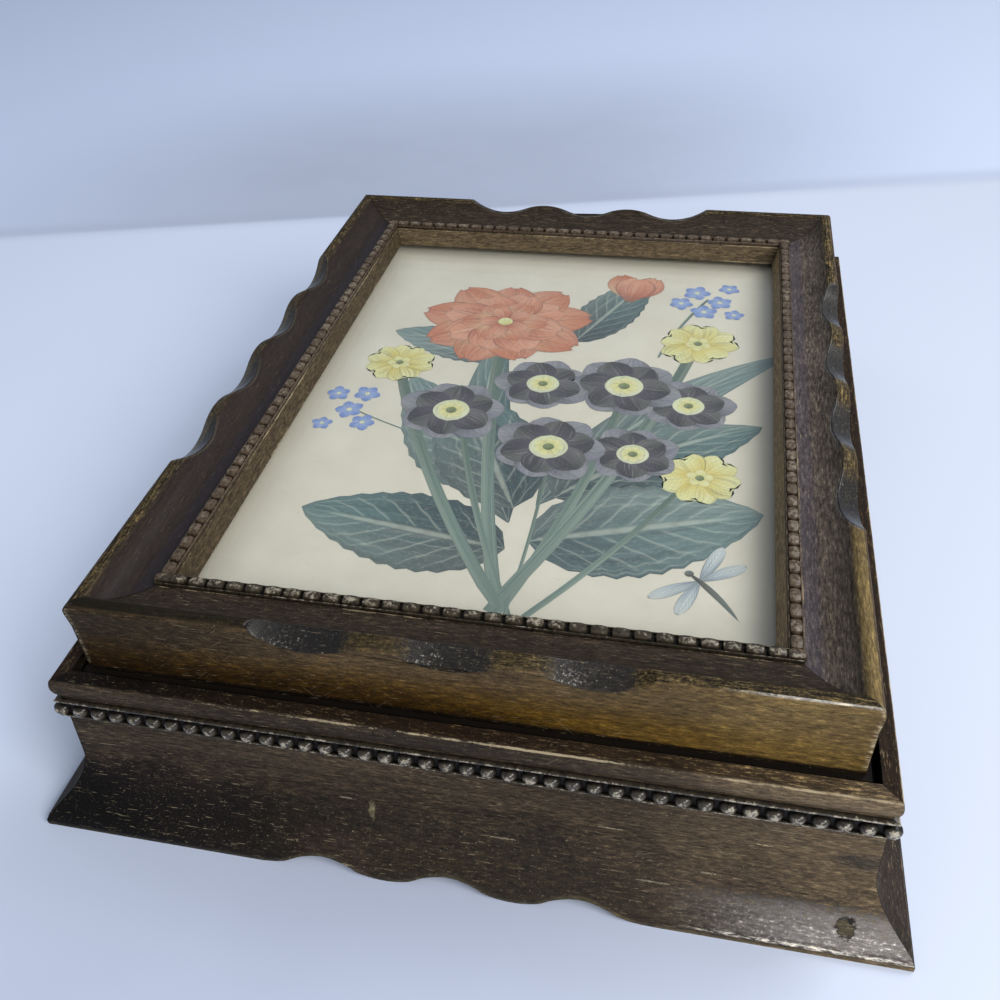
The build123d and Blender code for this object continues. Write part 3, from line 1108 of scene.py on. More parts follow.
@dataclass(frozen=True)
class BaseWood(StainedWood):
    """The base's moulding: umber neck, dark glossy cove and foot."""

    cove: Colour = (0.0145, 0.0105, 0.0065)
    plum: Colour = (0.023, 0.0140, 0.0105)
    # near black ledge top: dark stain and painted shade beside the lid
    ledge: Colour = (0.016, 0.0078, 0.0035)
    # painted shadow on the inner faces, down in the slot
    inside: Colour = (0.004, 0.003, 0.002)
    gold: Colour = (0.205, 0.145, 0.065)
    dent_edge: Colour = (0.006, 0.005, 0.004)
    # painted reflection of the window on the foot's right end
    silver_sheen: Colour = (0.165, 0.150, 0.148)
    fleck: Colour = (0.55, 0.52, 0.48)
    rim: Colour = (0.050, 0.044, 0.028)
    lit_rim: Colour = (0.60, 0.56, 0.48)
    # Soft edges of the zones, as on the lid
    cove_height: Point = (30.0, 24.0)
    neck_height: Point = (40.0, 41.0)
    ledge_height: Point = (45.7, 46.1)
    ledge_edge: Point = (6.3, 5.9)
    inner_edge: Point = (2.9, 2.5)
    scallop_rise: float = 4.6
    scallop_out: float = 16.8
    scallop_slope: float = math.radians(30.0)
    blemishes: tuple[Blemish, ...] = ()

    def _edge(self, at: Grain) -> Value:
        """Find the rubbed rim along the lower edge of the foot.

        Args:
            at: The point on the moulding.

        Returns:
            The rim, from 0 to 1.
        """
        crest, beyond = self.carving(at)
        crest = at.g.most(crest, beyond > self.carving_pitch / 2)
        over = (at.height - self.scallop_rise * (1 - crest)) * math.cos(self.scallop_slope)
        over = over - (at.out - self.scallop_out) * math.sin(self.scallop_slope)
        return (over + (at.speck - 0.5) * 1.6).rise(1.25, 0.5) * (at.height < 8.0)

    def _body(self, at: Grain, paint: Paint, right: Value) -> Value:
        """Colour the cove, the ledge and the neck.

        Args:
            at: The point on the moulding.
            paint: The colour so far.
            right: How near the front's right end the point is.

        Returns:
            Where the cove is.
        """
        g = at.g
        fall = at.height + (at.blotch - 0.5) * 18.0 + (at.grime - 0.5) * 16.0
        cove = fall.rise(24.0, 11.0) * at.height.rise(*self.cove_height) * (1 - right * 0.75)
        dark = g.mix(self.cove, self.plum, at.patch.rise(0.50, 0.62))
        paint.lay(g.mix(dark, toned(self.cove, 2.6), at.speck.rise(0.52, 0.70)), cove * 0.88)
        top = at.height.rise(*self.ledge_height) * at.out.rise(*self.ledge_edge)
        # The ledge top is near black: dark stain and painted shade, where the lid beside it hides
        # half the sky
        paint.lay(self.ledge, top * 0.9)
        gilt = (at.streak * 0.7 + at.grime * 0.9 + right * 0.14).rise(0.90, 1.06)
        paint.lay(self.gold, top * gilt * 0.75)
        # Painted shadow: near black on the inner faces, down in the slot beside the lid
        paint.lay(self.inside, at.out.rise(*self.inner_edge) * 0.9)
        band = at.height.rise(*self.neck_height) * (1 - top)
        # Painted light on the band and neck at the front's right end, painted shade on the cove
        # and ledge at its left end
        right_end_light = band * at.out.rise(5.6, 6.2) * 0.75 + (1 - band) * (1 - cove) * 0.32
        self.aged(at, paint, g.clamped(cove * 1.15 + top * 0.9), right_end_light)
        # Painted light and shade: lighter below the band at the front's right end and in its
        # middle, darker at the left end of the foot and in the band's middle
        worn = g.most(at.along.rise(68.0, 90.0), abs(at.along + 5.0).rise(55.0, 15.0) * 0.6)
        worn = worn * at.front * at.height.rise(40.0, 30.0)
        paint.lay((1.26, 1.24, 1.20), worn, "MULTIPLY")
        dimmed = at.front * at.along.rise(-15.0, -70.0) * at.height.rise(16.0, 8.0)
        dimmed = g.most(dimmed, band * at.front * abs(at.along).rise(75.0, 30.0) * 0.6)
        paint.lay((0.5, 0.5, 0.55), dimmed, "MULTIPLY")
        return cove

    def _dents(self, at: Grain, paint: Paint) -> Value:
        """Mark the blemishes on the front.

        Args:
            at: The point on the moulding.
            paint: The colour so far.

        Returns:
            Where they are.
        """
        holes = []
        for dent in self.blemishes:
            x = (at.along - dent.along) / dent.half_length
            z = (at.height - dent.height) / dent.half_height
            ragged = (at.speck - 0.5) * 4.6 + (at.grime - 0.5) * 1.6
            reach = x * x + z * z + ragged * (1 - dent.soft)
            inner = reach.rise(1.1 + dent.soft, 0.8 * (1 - dent.soft)) * at.front
            inner = inner * (1 - dent.soft * 0.4)
            ring = reach.rise(1.7, 1.2) * at.front * dent.ring
            paint.lay(self.dent_edge, ring)
            paint.lay(dent.colour, inner)
            holes.append(at.g.most(inner, ring))
        return reduce(at.g.most, holes)

    def zones(self, at: Grain, paint: Paint) -> tuple[Value, Value]:
        """Colour the ledge, the cove and the foot, and mark the front's blemishes.

        Args:
            at: The point on the moulding.
            paint: The colour so far.

        Returns:
            The gloss and the relief.
        """
        g = at.g
        right = (at.along + (at.patch - 0.5) * 60.0).rise(10.0, 100.0) * at.front
        cove = self._body(at, paint, right)
        dented = self._dents(at, paint)
        # Painted reflection of the window: the lower foot at the front's right end is laid silver
        # grey with pale flecks, broken up where its varnish has flaked
        low = (at.height + (at.grime - 0.5) * 16.0).rise(10.5, 7.0) * at.height.rise(1.6, 2.2)
        low = low * at.front * (at.along + (at.patch - 0.5) * 24.0).rise(50.0, 82.0)
        low = low * (1 - dented)
        flaked = (at.speck * 0.6 + at.grime * 0.7).rise(0.48, 0.74)
        paint.lay(self.silver_sheen, low * flaked * 0.85)
        paint.lay(self.fleck, low * (at.speck * 0.7 + at.grime * 0.5).rise(0.66, 0.74) * 0.7)
        rim = g.mix(self.rim, self.gold, right * at.streak.rise(0.3, 0.6))
        paint.lay(rim, self._edge(at) * (0.35 + at.along.rise(-90.0, 0.0) * 0.45))
        # A painted highlight along the top edge of the toe, at the right end
        lit = abs(at.height - 2.1).rise(0.75, 0.25) * (at.out > 15.0) * low.rise(0.0, 0.4)
        lit = lit * at.grime.rise(0.46, 0.54)
        paint.lay(self.lit_rim, lit * 0.75)
        gloss = cove * at.along.rise(-60.0, 60.0) * 0.16 + low * (0.9 - flaked * 0.4) + lit * 0.4
        relief = at.speck * cove * 0.8 + low * at.speck * 2.0
        return gloss, relief - dented * 1.2


@dataclass(frozen=True)
class BeadWood:
    """The bead strings: glazed dark in the gaps, rubbed on the crowns, with a painted highlight
    there too.
    """

    name: str
    glaze: Colour
    wood: Colour
    # pale crowns: rubbed wood, with a painted highlight on each bead
    crown: Colour
    warm: Colour  # on the lid's long sides and back
    grime: Colour = (0.35, 0.33, 0.30)

    def material(self) -> Material:
        """Build the beads' material.

        Returns:
            The material.
        """
        g = Graph(self.name)
        at = MouldingPlace.of(g)
        lift = Value(g, g.attribute("lift", "Fac"))
        here = (at.along + at.seed * 31.0, at.out, at.height)
        fine = g.noise(here, 0.9, 4.0, 0.65)
        broad = g.noise(here, 0.05, 2.0, 0.5)
        on_lid = at.out < 0
        warmed = g.clamped(on_lid * (1 - at.front) * (0.5 + broad * 0.7))
        wood = g.mix(self.wood, self.warm, warmed)
        glaze = g.mix(self.glaze, toned(self.warm, 0.28), warmed)
        paint = Paint(g, g.mix(glaze, wood, (lift + (fine - 0.5) * 0.6).rise(0.15, 0.8)))
        # The pale crowns are rubbed wood and also a painted highlight on each bead
        rub = lift + (fine - 0.5) * 1.6 + (broad - 0.5) * 0.9 + (1 - on_lid) * 0.13
        rub = rub.rise(0.92, 1.25)
        paint.lay(self.crown, rub * (0.9 - on_lid * (0.55 - at.front * 0.40)))
        paint.lay(self.grime, fine.rise(0.52, 0.36) * 0.8, "MULTIPLY")
        return g.principled(
            Base_Color=paint.colour,
            Roughness=0.46 - rub * 0.08 + fine * 0.12,
            Specular_IOR_Level=0.15,
            Coat_Weight=g.clamped(lift * (0.9 - on_lid * 0.6)),
            Coat_Roughness=0.14,
            Normal=g.bump(fine, 0.15 * MM),
        )


@dataclass(frozen=True)
class BoardWood:
    """Plain planed board with its grain along X or Y, painted near black past a line as the shadow
    in the slot beside the lid.
    """

    name: str
    early: Colour
    late: Colour
    along_x: bool
    rough: float = 0.62
    shadowed_out: float = 1e3  # mm outside the lip line
    slot_shadow: Colour = (0.0025, 0.002, 0.0015)

    def material(self) -> Material:
        """Build the board's material.

        Returns:
            The material.
        """
        g = Graph(self.name)
        x, y, z = g.place()
        run, across = (x, y) if self.along_x else (y, x)
        rings = g.noise((run * 0.008, across * 0.16, z * 0.16), 1.0, 4.0, 0.55, 0.8)
        fibre = g.noise((run * 0.12, across * 2.2, z * 2.2), 1.0, 4.0, 0.6)
        pore = g.noise((run * 0.5, across * 6.0, z * 6.0), 1.0, 2.0, 0.5)
        band = abs(g.math("SINE", rings * 34.0))
        paint = Paint(g, self.early)
        paint.lay(self.late, g.clamped(band * 0.6 + (fibre - 0.4) * 0.9))
        paint.lay(toned(self.late, 0.35), pore.rise(0.63, 0.72) * 0.6)
        stain = g.noise((x, y, z), 0.03, 3.0, 0.6)
        paint.lay(toned(self.early, 0.5), stain.rise(0.55, 0.75) * 0.35)
        out = g.most(abs(x) - LIP_HALF_WIDTH / MM, abs(y) - LIP_HALF_DEPTH / MM)
        edge = (out + (fibre - 0.5)).rise(self.shadowed_out - 0.6, self.shadowed_out)
        # Painted shadow: near black past that line, where the board shows in the slot between lid
        # and base
        paint.lay(self.slot_shadow, edge * 0.97)
        return g.principled(
            Base_Color=paint.colour,
            Roughness=self.rough + fibre * 0.12,
            Specular_IOR_Level=0.12,
            Normal=g.bump(fibre * 0.6 + pore * 0.4, 0.1 * MM),
        )


@dataclass(frozen=True)
class FeltCloth:
    """Pressed wool felt."""

    name: str
    nap: Colour
    shade: Colour
    sheen: Colour = (0.8, 0.75, 0.7)

    def material(self) -> Material:
        """Build the felt's material.

        Returns:
            The material.
        """
        g = Graph(self.name)
        here = g.place()
        fuzz = g.noise(here, 3.2, 4.0, 0.75, 1.6)
        tuft = g.noise(here, 0.6, 3.0, 0.6, 0.8)
        wear = g.noise(here, 0.035, 3.0, 0.55)
        paint = Paint(g, self.shade)
        paint.lay(self.nap, g.clamped(fuzz * 0.8 + (tuft - 0.3) * 0.6))
        paint.lay(toned(self.nap, 1.7), wear.rise(0.55, 0.8) * 0.3)
        return g.principled(
            Base_Color=paint.colour,
            Roughness=0.95,
            Sheen_Weight=0.35,
            Sheen_Roughness=0.5,
            Sheen_Tint=self.sheen,
            Normal=g.bump(fuzz * 0.7 + tuft * 0.3, 0.25 * MM),
        )


@dataclass(frozen=True)
class ClearGlass:
    """Thin picture glass that passes most light and mirrors a little at a slant."""

    name: str
    tint: Colour
    mirror: Colour

    def material(self) -> Material:
        """Build the glass.

        Returns:
            The material.
        """
        g = Graph(self.name)
        smear = g.noise(g.place(), 0.02, 3.0, 0.6)
        clear = g.node("ShaderNodeBsdfTransparent", None, {"Color": self.tint})
        gloss = {"Base Color": self.mirror, "Metallic": 1.0, "Roughness": smear * 0.06 + 0.03}
        mirror = g.node("ShaderNodeBsdfPrincipled", None, gloss)
        slant = Value(g, g.node("ShaderNodeLayerWeight", None, {"Blend": 0.5}).outputs["Facing"])
        share = g.clamped(slant**5 * 0.9 + 0.025)
        mixed = {0: share, 1: clear.outputs[0], 2: mirror.outputs[0]}
        return g.finish(g.node("ShaderNodeMixShader", None, mixed))


@dataclass(frozen=True)
class PrintPaper:
    """Aged cream paper of a picture print."""

    name: str
    cream: Colour
    # toned colour of old paper, also laid darker as painted shade near the frame
    aged: Colour
    foxing: Colour = (0.30, 0.26, 0.17)
    half_size: Point = (69.5, 95.0)

    def texture(self, g: Graph) -> tuple[Socket, Value]:
        """Age the paper, darken it with painted shade towards the edges of its window and lay its
        fibres.

        Args:
            g: The material's graph.

        Returns:
            The paper's colour and the height of its fibres.
        """
        x, y, _ = g.place()
        flat = (x, y, 0.0)
        mottle = g.noise(flat, 0.045, 5.0, 0.65)
        fibre = g.noise(flat, 1.4, 4.0, 0.7, 0.5)
        fleck = g.noise(flat, 0.8, 2.0, 0.5)
        edge = g.most(abs(x) - self.half_size[0], abs(y) - self.half_size[1])
        paint = Paint(g, self.cream)
        paint.lay(self.aged, g.clamped((mottle - 0.35) * 1.4 + (fibre - 0.5) * 0.6))
        # Painted shade: darker towards the edges of the window, where the frame shades the paper
        paint.lay(toned(self.aged, 0.72), edge.rise(-12.0, 0.0) * 0.5)
        paint.lay(self.foxing, fleck.rise(0.70, 0.76) * 0.35)
        return paint.colour, fibre

    def printed(self, g: Graph, colour: Socket, fibre: Value, rough: float) -> Material:
        """Finish the paper.

        Args:
            g: The material's graph.
            colour: Its colour.
            fibre: The height of its fibres.
            rough: Its roughness.

        Returns:
            The material.
        """
        normal = g.bump(fibre, 0.02 * MM)
        return g.principled(
            Base_Color=colour, Roughness=rough, Specular_IOR_Level=0.3, Normal=normal
        )

    def material(self) -> Material:
        """Build the bare paper."""
        g = Graph(self.name)
        return self.printed(g, *self.texture(g), 0.8)


@dataclass(frozen=True)
class BotanicalInk:
    """Printed petals and leaves, drawn over each motif's own UV map.

    U runs across a blade and V from its root to its tip. The attributes ink_root and
    ink_tip hold its two colours, and ink_draw its vein strength, line strength and seed.
    """

    name: str
    paper: PrintPaper
    line: Colour = (0.020, 0.022, 0.028)
    light: Colour = (0.80, 0.80, 0.66)

    def material(self) -> Material:
        """Build the ink.

        Returns:
            The material.
        """
        g = Graph(self.name)
        paper, fibre = self.paper.texture(g)
        u, v, _ = g.split(g.node("ShaderNodeUVMap", {"uv_map": "UVMap"}).outputs[0])
        vein, line, seed = g.split(g.attribute("ink_draw", "Vector"))
        off = abs(u - 0.5) * 2
        wander = g.noise((u * 4.0, v * 1.4, seed), 1.0, 3.0, 0.6)
        streak = g.noise((u * 20.0, v * 1.3, seed + 9.0), 1.0, 3.0, 0.55)
        ribbed = v * 8.0 - off * 2.4
        ribs = g.math("SINE", ribbed * (2 * math.pi)).rise(0.80, 1.0)
        ribs = ribs * off.rise(0.02, 0.2) * off.rise(1.0, 0.6)
        midrib = off.rise(0.10, 0.02) * v.rise(1.0, 0.7)
        shade = g.math("SINE", (ribbed + 0.35) * (2 * math.pi)).rise(0.2, 1.0)
        rim = g.most(off.rise(0.88, 1.0), v.rise(0.955, 1.0))
        dots = g.noise((u * 45.0, v * 45.0, seed), 1.0, 2.0, 0.6)

        paint = Paint(g, g.attribute("ink_root", "Color"))
        spread = (v + (wander - 0.5) * 0.7 - off * 0.10).rise(0.10, 0.92)
        paint.lay(g.attribute("ink_tip", "Color"), spread)
        for ink, share in (
            (self.line, streak.rise(0.48, 0.70) * 0.38),
            (self.light, streak.rise(0.44, 0.28) * 0.16),
            (self.light, (u + (wander - 0.5) * 0.3).rise(0.62, 0.18) * 0.07),
            (self.light, g.most(ribs * 0.55, midrib) * vein * 0.5),
            (self.line, shade * vein * 0.22),
            (self.line, rim * line * 0.55),
            (self.line, v.rise(0.40, 0.0) * line * 0.45),
        ):
            paint.lay(ink, g.clamped(share))
        paint.lay(paper, dots.rise(0.52, 0.74) * 0.15)
        paint.lay(paper, 0.05)
        return self.paper.printed(g, paint.colour, fibre, 0.75)


@dataclass(frozen=True)
class MetalFinish:
    """Aged metal with a tarnished skin."""

    name: str
    bright: Colour
    tarnish: Colour
    rough: float

    def material(self) -> Material:
        """Build the metal.

        Returns:
            The material.
        """
        g = Graph(self.name)
        x, y, z = g.place()
        cloud = g.noise((x, y, z), 0.45, 4.0, 0.65)
        brushed = g.noise((x * 0.4, y * 5.0, z * 5.0), 1.0, 3.0, 0.5)
        spoiled = cloud.rise(0.45, 0.68)
        return g.principled(
            Base_Color=g.mix(self.bright, self.tarnish, spoiled * 0.85),
            Metallic=1.0 - spoiled * 0.25,
            Roughness=self.rough + spoiled * 0.25 + (brushed - 0.5) * 0.12,
            Normal=g.bump(brushed * 0.5 + cloud * 0.5, 0.03 * MM),
        )


@dataclass(frozen=True)
class GreyBoard:
    """Pulp board behind the print."""

    name: str
    pulp: Colour
    fleck: Colour
    damp: Colour = (0.12, 0.09, 0.055)

    def material(self) -> Material:
        """Build the board.

        Returns:
            The material.
        """
        g = Graph(self.name)
        here = g.place()
        pulp = g.noise(here, 0.9, 5.0, 0.7)
        paint = Paint(g, self.pulp)
        paint.lay(toned(self.pulp, 0.7), g.clamped(pulp))
        paint.lay(self.fleck, g.noise(here, 2.4, 2.0, 0.5, 1.5).rise(0.62, 0.7) * 0.5)
        paint.lay(self.damp, g.noise(here, 0.02, 3.0, 0.6).rise(0.55, 0.72) * 0.4)
        normal = g.bump(pulp, 0.08 * MM)
        return g.principled(Base_Color=paint.colour, Roughness=0.9, Normal=normal)


LID_WOOD = LidWood(
    name="lid_stained_wood",
    shade=(0.022, 0.014, 0.008),
    stain=(0.062, 0.042, 0.022),
    rubbed=(0.30, 0.235, 0.14),
    right_end_light=(0.255, 0.170, 0.060),
    open_mitre=0.32,
    arrises=(
        Arris(-0.1, 63.3, 0.55, 0.42, kept=0.7),
        Arris(-2.4, 65.9, 1.1, 0.34, kept=0.9),
        Arris(-14.5, 60.4, 0.6, 0.6),
        Arris(-17.9, 60.2, 0.7, 0.7),
        Arris(-19.5, 54.4, 0.7, 0.5),
    ),
)
BASE_WOOD = BaseWood(
    name="base_stained_wood",
    shade=(0.026, 0.018, 0.011),
    stain=(0.070, 0.050, 0.031),
    rubbed=(0.34, 0.275, 0.17),
    right_end_light=(0.200, 0.145, 0.085),
    arrises=(
        Arris(6.35, 45.9, 0.50, 0.88, kept=0.50),
        Arris(16.1, 3.3, 0.6, 0.45),
        Arris(6.0, 28.0, 2.2, 0.16),
    ),
    blemishes=(
        Blemish(90.6, 6.3, 1.7, 1.3, (0.062, 0.050, 0.028), 0.95),
        Blemish(91.6, 7.4, 0.7, 0.5, (0.008, 0.006, 0.004), 0.5),
        Blemish(92.5, 22.6, 6.5, 2.6, (0.020, 0.018, 0.018), soft=0.8),
        Blemish(89.5, 24.2, 0.9, 0.4, (0.050, 0.044, 0.036), 0.95),
        Blemish(-19.8, 14.6, 0.9, 3.0, (0.110, 0.095, 0.055), 0.2),
        Blemish(-26.0, 17.0, 2.0, 0.3, (0.14, 0.12, 0.085)),
        Blemish(71.0, 23.6, 2.0, 0.25, (0.20, 0.165, 0.11)),
        Blemish(74.0, 29.4, 4.2, 0.16, (0.18, 0.15, 0.10)),
        Blemish(96.0, 14.5, 2.0, 0.5, (0.24, 0.18, 0.10)),
        Blemish(37.0, 21.0, 3.2, 0.22, (0.26, 0.21, 0.14)),
        Blemish(12.0, 12.5, 3.6, 0.25, (0.15, 0.125, 0.085)),
        Blemish(48.0, 8.5, 4.0, 0.18, (0.17, 0.145, 0.10)),
        Blemish(60.0, 12.0, 1.8, 0.25, (0.19, 0.16, 0.11)),
    ),
)
BEAD_WOOD = BeadWood(
    name="bead_wood",
    glaze=(0.004, 0.003, 0.0025),
    wood=(0.034, 0.026, 0.015),
    crown=(0.34, 0.30, 0.225),
    warm=(0.086, 0.058, 0.036),
)
TRAY_EARLY, TRAY_LATE = (0.16, 0.094, 0.045), (0.085, 0.045, 0.02)
TRAY_WOOD_X = BoardWood("tray_wood_x", TRAY_EARLY, TRAY_LATE, True, shadowed_out=-0.6)
TRAY_WOOD_Y = BoardWood("tray_wood_y", TRAY_EARLY, TRAY_LATE, False, shadowed_out=-0.6)
PANEL_WOOD = BoardWood("panel_wood", (0.34, 0.22, 0.115), (0.21, 0.12, 0.055), False, 0.7)
FELT = FeltCloth("lining_felt", (0.075, 0.016, 0.022), (0.035, 0.007, 0.011))
GLASS = ClearGlass("picture_glass", (0.965, 0.975, 0.97), (0.95, 0.97, 1.0))
PAPER = PrintPaper("print_paper", (0.66, 0.61, 0.51), (0.53, 0.475, 0.375))
INK = BotanicalInk("botanical_ink", PAPER)
BRASS = MetalFinish("hinge_brass", (0.62, 0.42, 0.15), (0.16, 0.10, 0.045), 0.3)
SCREW_BRASS = MetalFinish("screw_brass", (0.36, 0.25, 0.11), (0.07, 0.045, 0.025), 0.34)
STEEL = MetalFinish("brad_steel", (0.42, 0.41, 0.40), (0.13, 0.085, 0.06), 0.42)
BACKING = GreyBoard("grey_board", (0.27, 0.25, 0.21), (0.42, 0.38, 0.30))


# ---------------------------------------------------------------- pieces


@dataclass(frozen=True)
class Mouldings:
    """The four mitred rails of the base or the lid, with softened arrises."""

    body: Body
    finish: StainedWood
    arris: float = 0.32 * MM
    sharp: float = 24.0  # degrees; flatter edges stay as they are
    reach: float = 0.02 * MM  # how near a mitre or the table counts as on it
    smooth: float = 40.0  # degrees; edges that turn less are shaded smooth

    def _stays_sharp(self, ends: Sequence[Vector]) -> bool:
        """Tell whether an edge lies in a mitre plane or on the table.

        Args:
            ends: The edge's two ends.

        Returns:
            Whether it stays sharp.
        """
        past = [abs(end.x) - LIP_HALF_WIDTH - abs(end.y) + LIP_HALF_DEPTH for end in ends]
        on_mitre = all(abs(gap) < self.reach for gap in past)
        return on_mitre or all(end.z < self.reach for end in ends)

    def rail(self, side: Side) -> Object:
        """Copy the rail of one side from its CAD node and round its arrises.

        Args:
            side: The side of the box.

        Returns:
            The moulding.
        """
        name = f"{self.body.value}_{side.label}"
        rail = copied_node(f"{name}_rail", f"{name}_moulding")
        with editing(rail, "edges", lambda edge: False):
            bpy.ops.mesh.edges_select_sharp(sharpness=math.radians(self.sharp))
        points = rail.data.vertices

        def is_arris(edge: bpy.types.MeshEdge) -> bool:
            """Whether an edge is one of the sharp ones that are rounded."""
            return edge.select and not self._stays_sharp([points[i].co for i in edge.vertices])

        rounding = {"offset": self.arris, "segments": 2, "profile": 0.6}
        with editing(rail, "edges", is_arris):
            bpy.ops.mesh.bevel(offset_type="OFFSET", clamp_overlap=False, **rounding)
        if any(v.co.z < 0.0 for v in rail.data.vertices):
            with editing(rail, "vertices", lambda v: v.co.z < 0.0):
                stretch(1.0, 1.0, 0.0)
        smoothed(rail, self.smooth)
        modified(rail, "TRIANGULATE", min_vertices=5)
        return modified(rail, "WEIGHTED_NORMAL", keep_sharp=True, weight=100)

    def build(self) -> None:
        """Build the four rails, dress them and hang them on their body."""
        wood = self.finish.material()
        for side in Side:
            node = f"{self.body.value}_{side.label}_rail"
            place(self.rail(side), self.body, wood, [node])


@dataclass(frozen=True)
class BeadString:
    """A string of beads between two fillets, let into a groove of a moulding."""

    body: Body
    bed_out: float  # lip line to the middle of the groove's floor
    bed_z: float
    lies_flat: bool  # the beads look up instead of outwards
    width: float
    backing: float
    fillets: tuple[float, float]  # widths, lower or inner one first
    fillet_rise: float
    bead_offset: float  # across, from the middle of the bar
    bead_size: tuple[float, float, float]  # along, across and above the backing
    bead_flare: float  # how much wider it is at its foot
    roundness: float
    pitch: float = 4.75 * MM
    foot_share: float = 0.6  # of the bead's rise, up to which it is flared
    fillet_round: float = 0.42  # of the narrower fillet's width
    smooth: float = 50.0

    def _frame(self, side: Side) -> Matrix:
        """Set X along the side, Y across the strip and Z out of its bed.

        Args:
            side: The side of the box.

        Returns:
            The strip's place and axes.
        """
        lift = UP if self.lies_flat else side.outward
        across = side.outward if self.lies_flat else UP
        axes = Matrix((across.cross(lift), across, lift)).transposed().to_4x4()
        return Matrix.Translation(side.point(self.bed_out, 0.0, self.bed_z)) @ axes

    def _bead(self) -> Object:
        """Model one bead: a cube rounded off, wider at its foot.

        Returns:
            The bead.
        """
        bpy.ops.mesh.primitive_cube_add(size=1.0)
        bead = bpy.context.object
        with editing(bead):
            bpy.ops.mesh.subdivide(number_cuts=2)
        modified(bead, "CAST", factor=self.roundness, cast_type="SPHERE")
        along, across, rise = self.bead_size
        spread = bead.dimensions
        with editing(bead):
            stretch(along / spread.x, across / spread.y, 2 * rise / spread.z)
        with editing(bead, "vertices", lambda v: abs(v.co.z) < rise * self.foot_share):
            stretch(self.bead_flare, 1.0, 1.0)
        return settled(bead, "bead_pattern")

    def _bar(self, half_run: float) -> Object:
        """Model the straight bar with a fillet along each edge.

        Args:
            half_run: Half the length of its bed.

        Returns:
            The bar, longer than its bed, since its ends aren't mitred yet.
        """
        height = self.backing + self.fillet_rise
        length = 2 * half_run + 4 * self.width
        inner, outer = self.fillets
        size, middle = (length, self.width, height), (0.0, 0.0, height / 2)
        bpy.ops.mesh.primitive_cube_add(size=1.0, location=middle, scale=size)
        bar = settled(bpy.context.object, "bar_pattern")
        groove(bar, inner - self.width / 2, self.width / 2 - outer, self.fillet_rise)
        points = bar.data.vertices

        def on_fillet(edge: bpy.types.MeshEdge) -> bool:
            """Whether an edge runs along the top of a fillet."""
            start, end = (points[i].co for i in edge.vertices)
            return min(start.z, end.z) > height - TINY and abs(start.x - end.x) > length / 2

        with editing(bar, "edges", on_fillet):
            rounding = min(self.fillets) * self.fillet_round
            bpy.ops.mesh.bevel(offset=rounding, segments=2, clamp_overlap=True)
        return bar

    def _mitred(self, bar: Object, side: Side) -> Object:
        """Cut both ends of a bar that is in place to the mitre planes.

        Args:
            bar: The bar.
            side: The side of the box.

        Returns:
            The same bar.
        """
        for end in (-1.0, 1.0):
            corner = side.point(0.0, end * side.half_run, 0.0)
            outer = (side.along * end - side.outward).normalized()
            with editing(bar):
                bpy.ops.mesh.bisect(
                    plane_co=corner, plane_no=outer, use_fill=True, clear_outer=True
                )
        return bar

    def _marked(self, part: Object, foot: float, crown: float) -> Object:
        """Store how far each point stands out of the bed, from 0 to 1 at the crown.

        Args:
            part: The bead or bar, lying in its bed.
            foot: The height where the mark is 0.
            crown: The height where it is 1.

        Returns:
            The same part.
        """
        lift = part.data.attributes.new("lift", "FLOAT", "POINT")
        for vertex, entry in zip(part.data.vertices, lift.data):
            entry.value = min(max((vertex.co.z - foot) / (crown - foot), 0.0), 1.0)
        return part

    def string(self, side: Side) -> Object:
        """Model the whole string along one side, in place, as one mesh.

        Args:
            side: The side of the box.

        Returns:
            The string.
        """
        frame_matrix = self._frame(side)
        half_run = side.half_run + self.bed_out
        top = self.backing + self.fillet_rise
        bar = self._marked(self._bar(half_run), self.backing, top + self.fillet_rise * 0.1)
        bar.data.transform(frame_matrix)
        parts = [self._mitred(bar, side)]
        bead = self._marked(self._bead(), 0.0, self.bead_size[2])
        gaps = int(2 * half_run // self.pitch)
        places = [(i - (gaps - 1) / 2) * self.pitch for i in range(gaps)]
        if side in (Side.FRONT, Side.BACK):
            corner = half_run + (0.0 if self.lies_flat else self.backing)
            places += [-corner, corner]
        for along in places:
            spot = Matrix.Translation((along, self.bead_offset, self.backing))
            parts.append(copy_of(bead, frame_matrix @ spot))
        discard(bead)
        whole = joined(parts[::-1], f"{self.body.value}_{side.label}_bead_string")
        return smoothed(whole, self.smooth)

    def build(self, finish: Material) -> None:
        """Build the four strings and hang them on their body.

        Args:
            finish: Their material.
        """
        for side in Side:
            node = f"{self.body.value}_{side.label}_beads"
            place(self.string(side), self.body, finish, [node])


BASE_BEADS = BeadString(
    body=Body.BASE,
    bed_out=5.2 * MM,
    bed_z=36.8 * MM,
    lies_flat=False,
    width=5.5 * MM,
    backing=0.95 * MM,
    fillets=(0.38 * MM, 0.52 * MM),
    fillet_rise=0.9 * MM,
    bead_offset=-0.52 * MM,
    bead_size=(2.95 * MM, 2.8 * MM, 1.75 * MM),
    bead_flare=1.3,
    roundness=0.72,
)
LID_BEADS = BeadString(
    body=Body.LID,
    bed_out=-16.2 * MM,
    bed_z=59.8 * MM,
    lies_flat=True,
    width=3.3 * MM,
    backing=1.1 * MM,
    fillets=(0.34 * MM, 0.34 * MM),
    fillet_rise=0.45 * MM,
    bead_offset=0.0,
    bead_size=(4.2 * MM, 2.75 * MM, 1.25 * MM),
    bead_flare=1.03,
    roundness=0.56,
)


@dataclass(frozen=True)
class Ink:
    """The inks of one motif: its root and tip colours, veins and outline."""

    root: Colour
    tip: Colour
    vein: float = 0.25
    line: float = 0.7


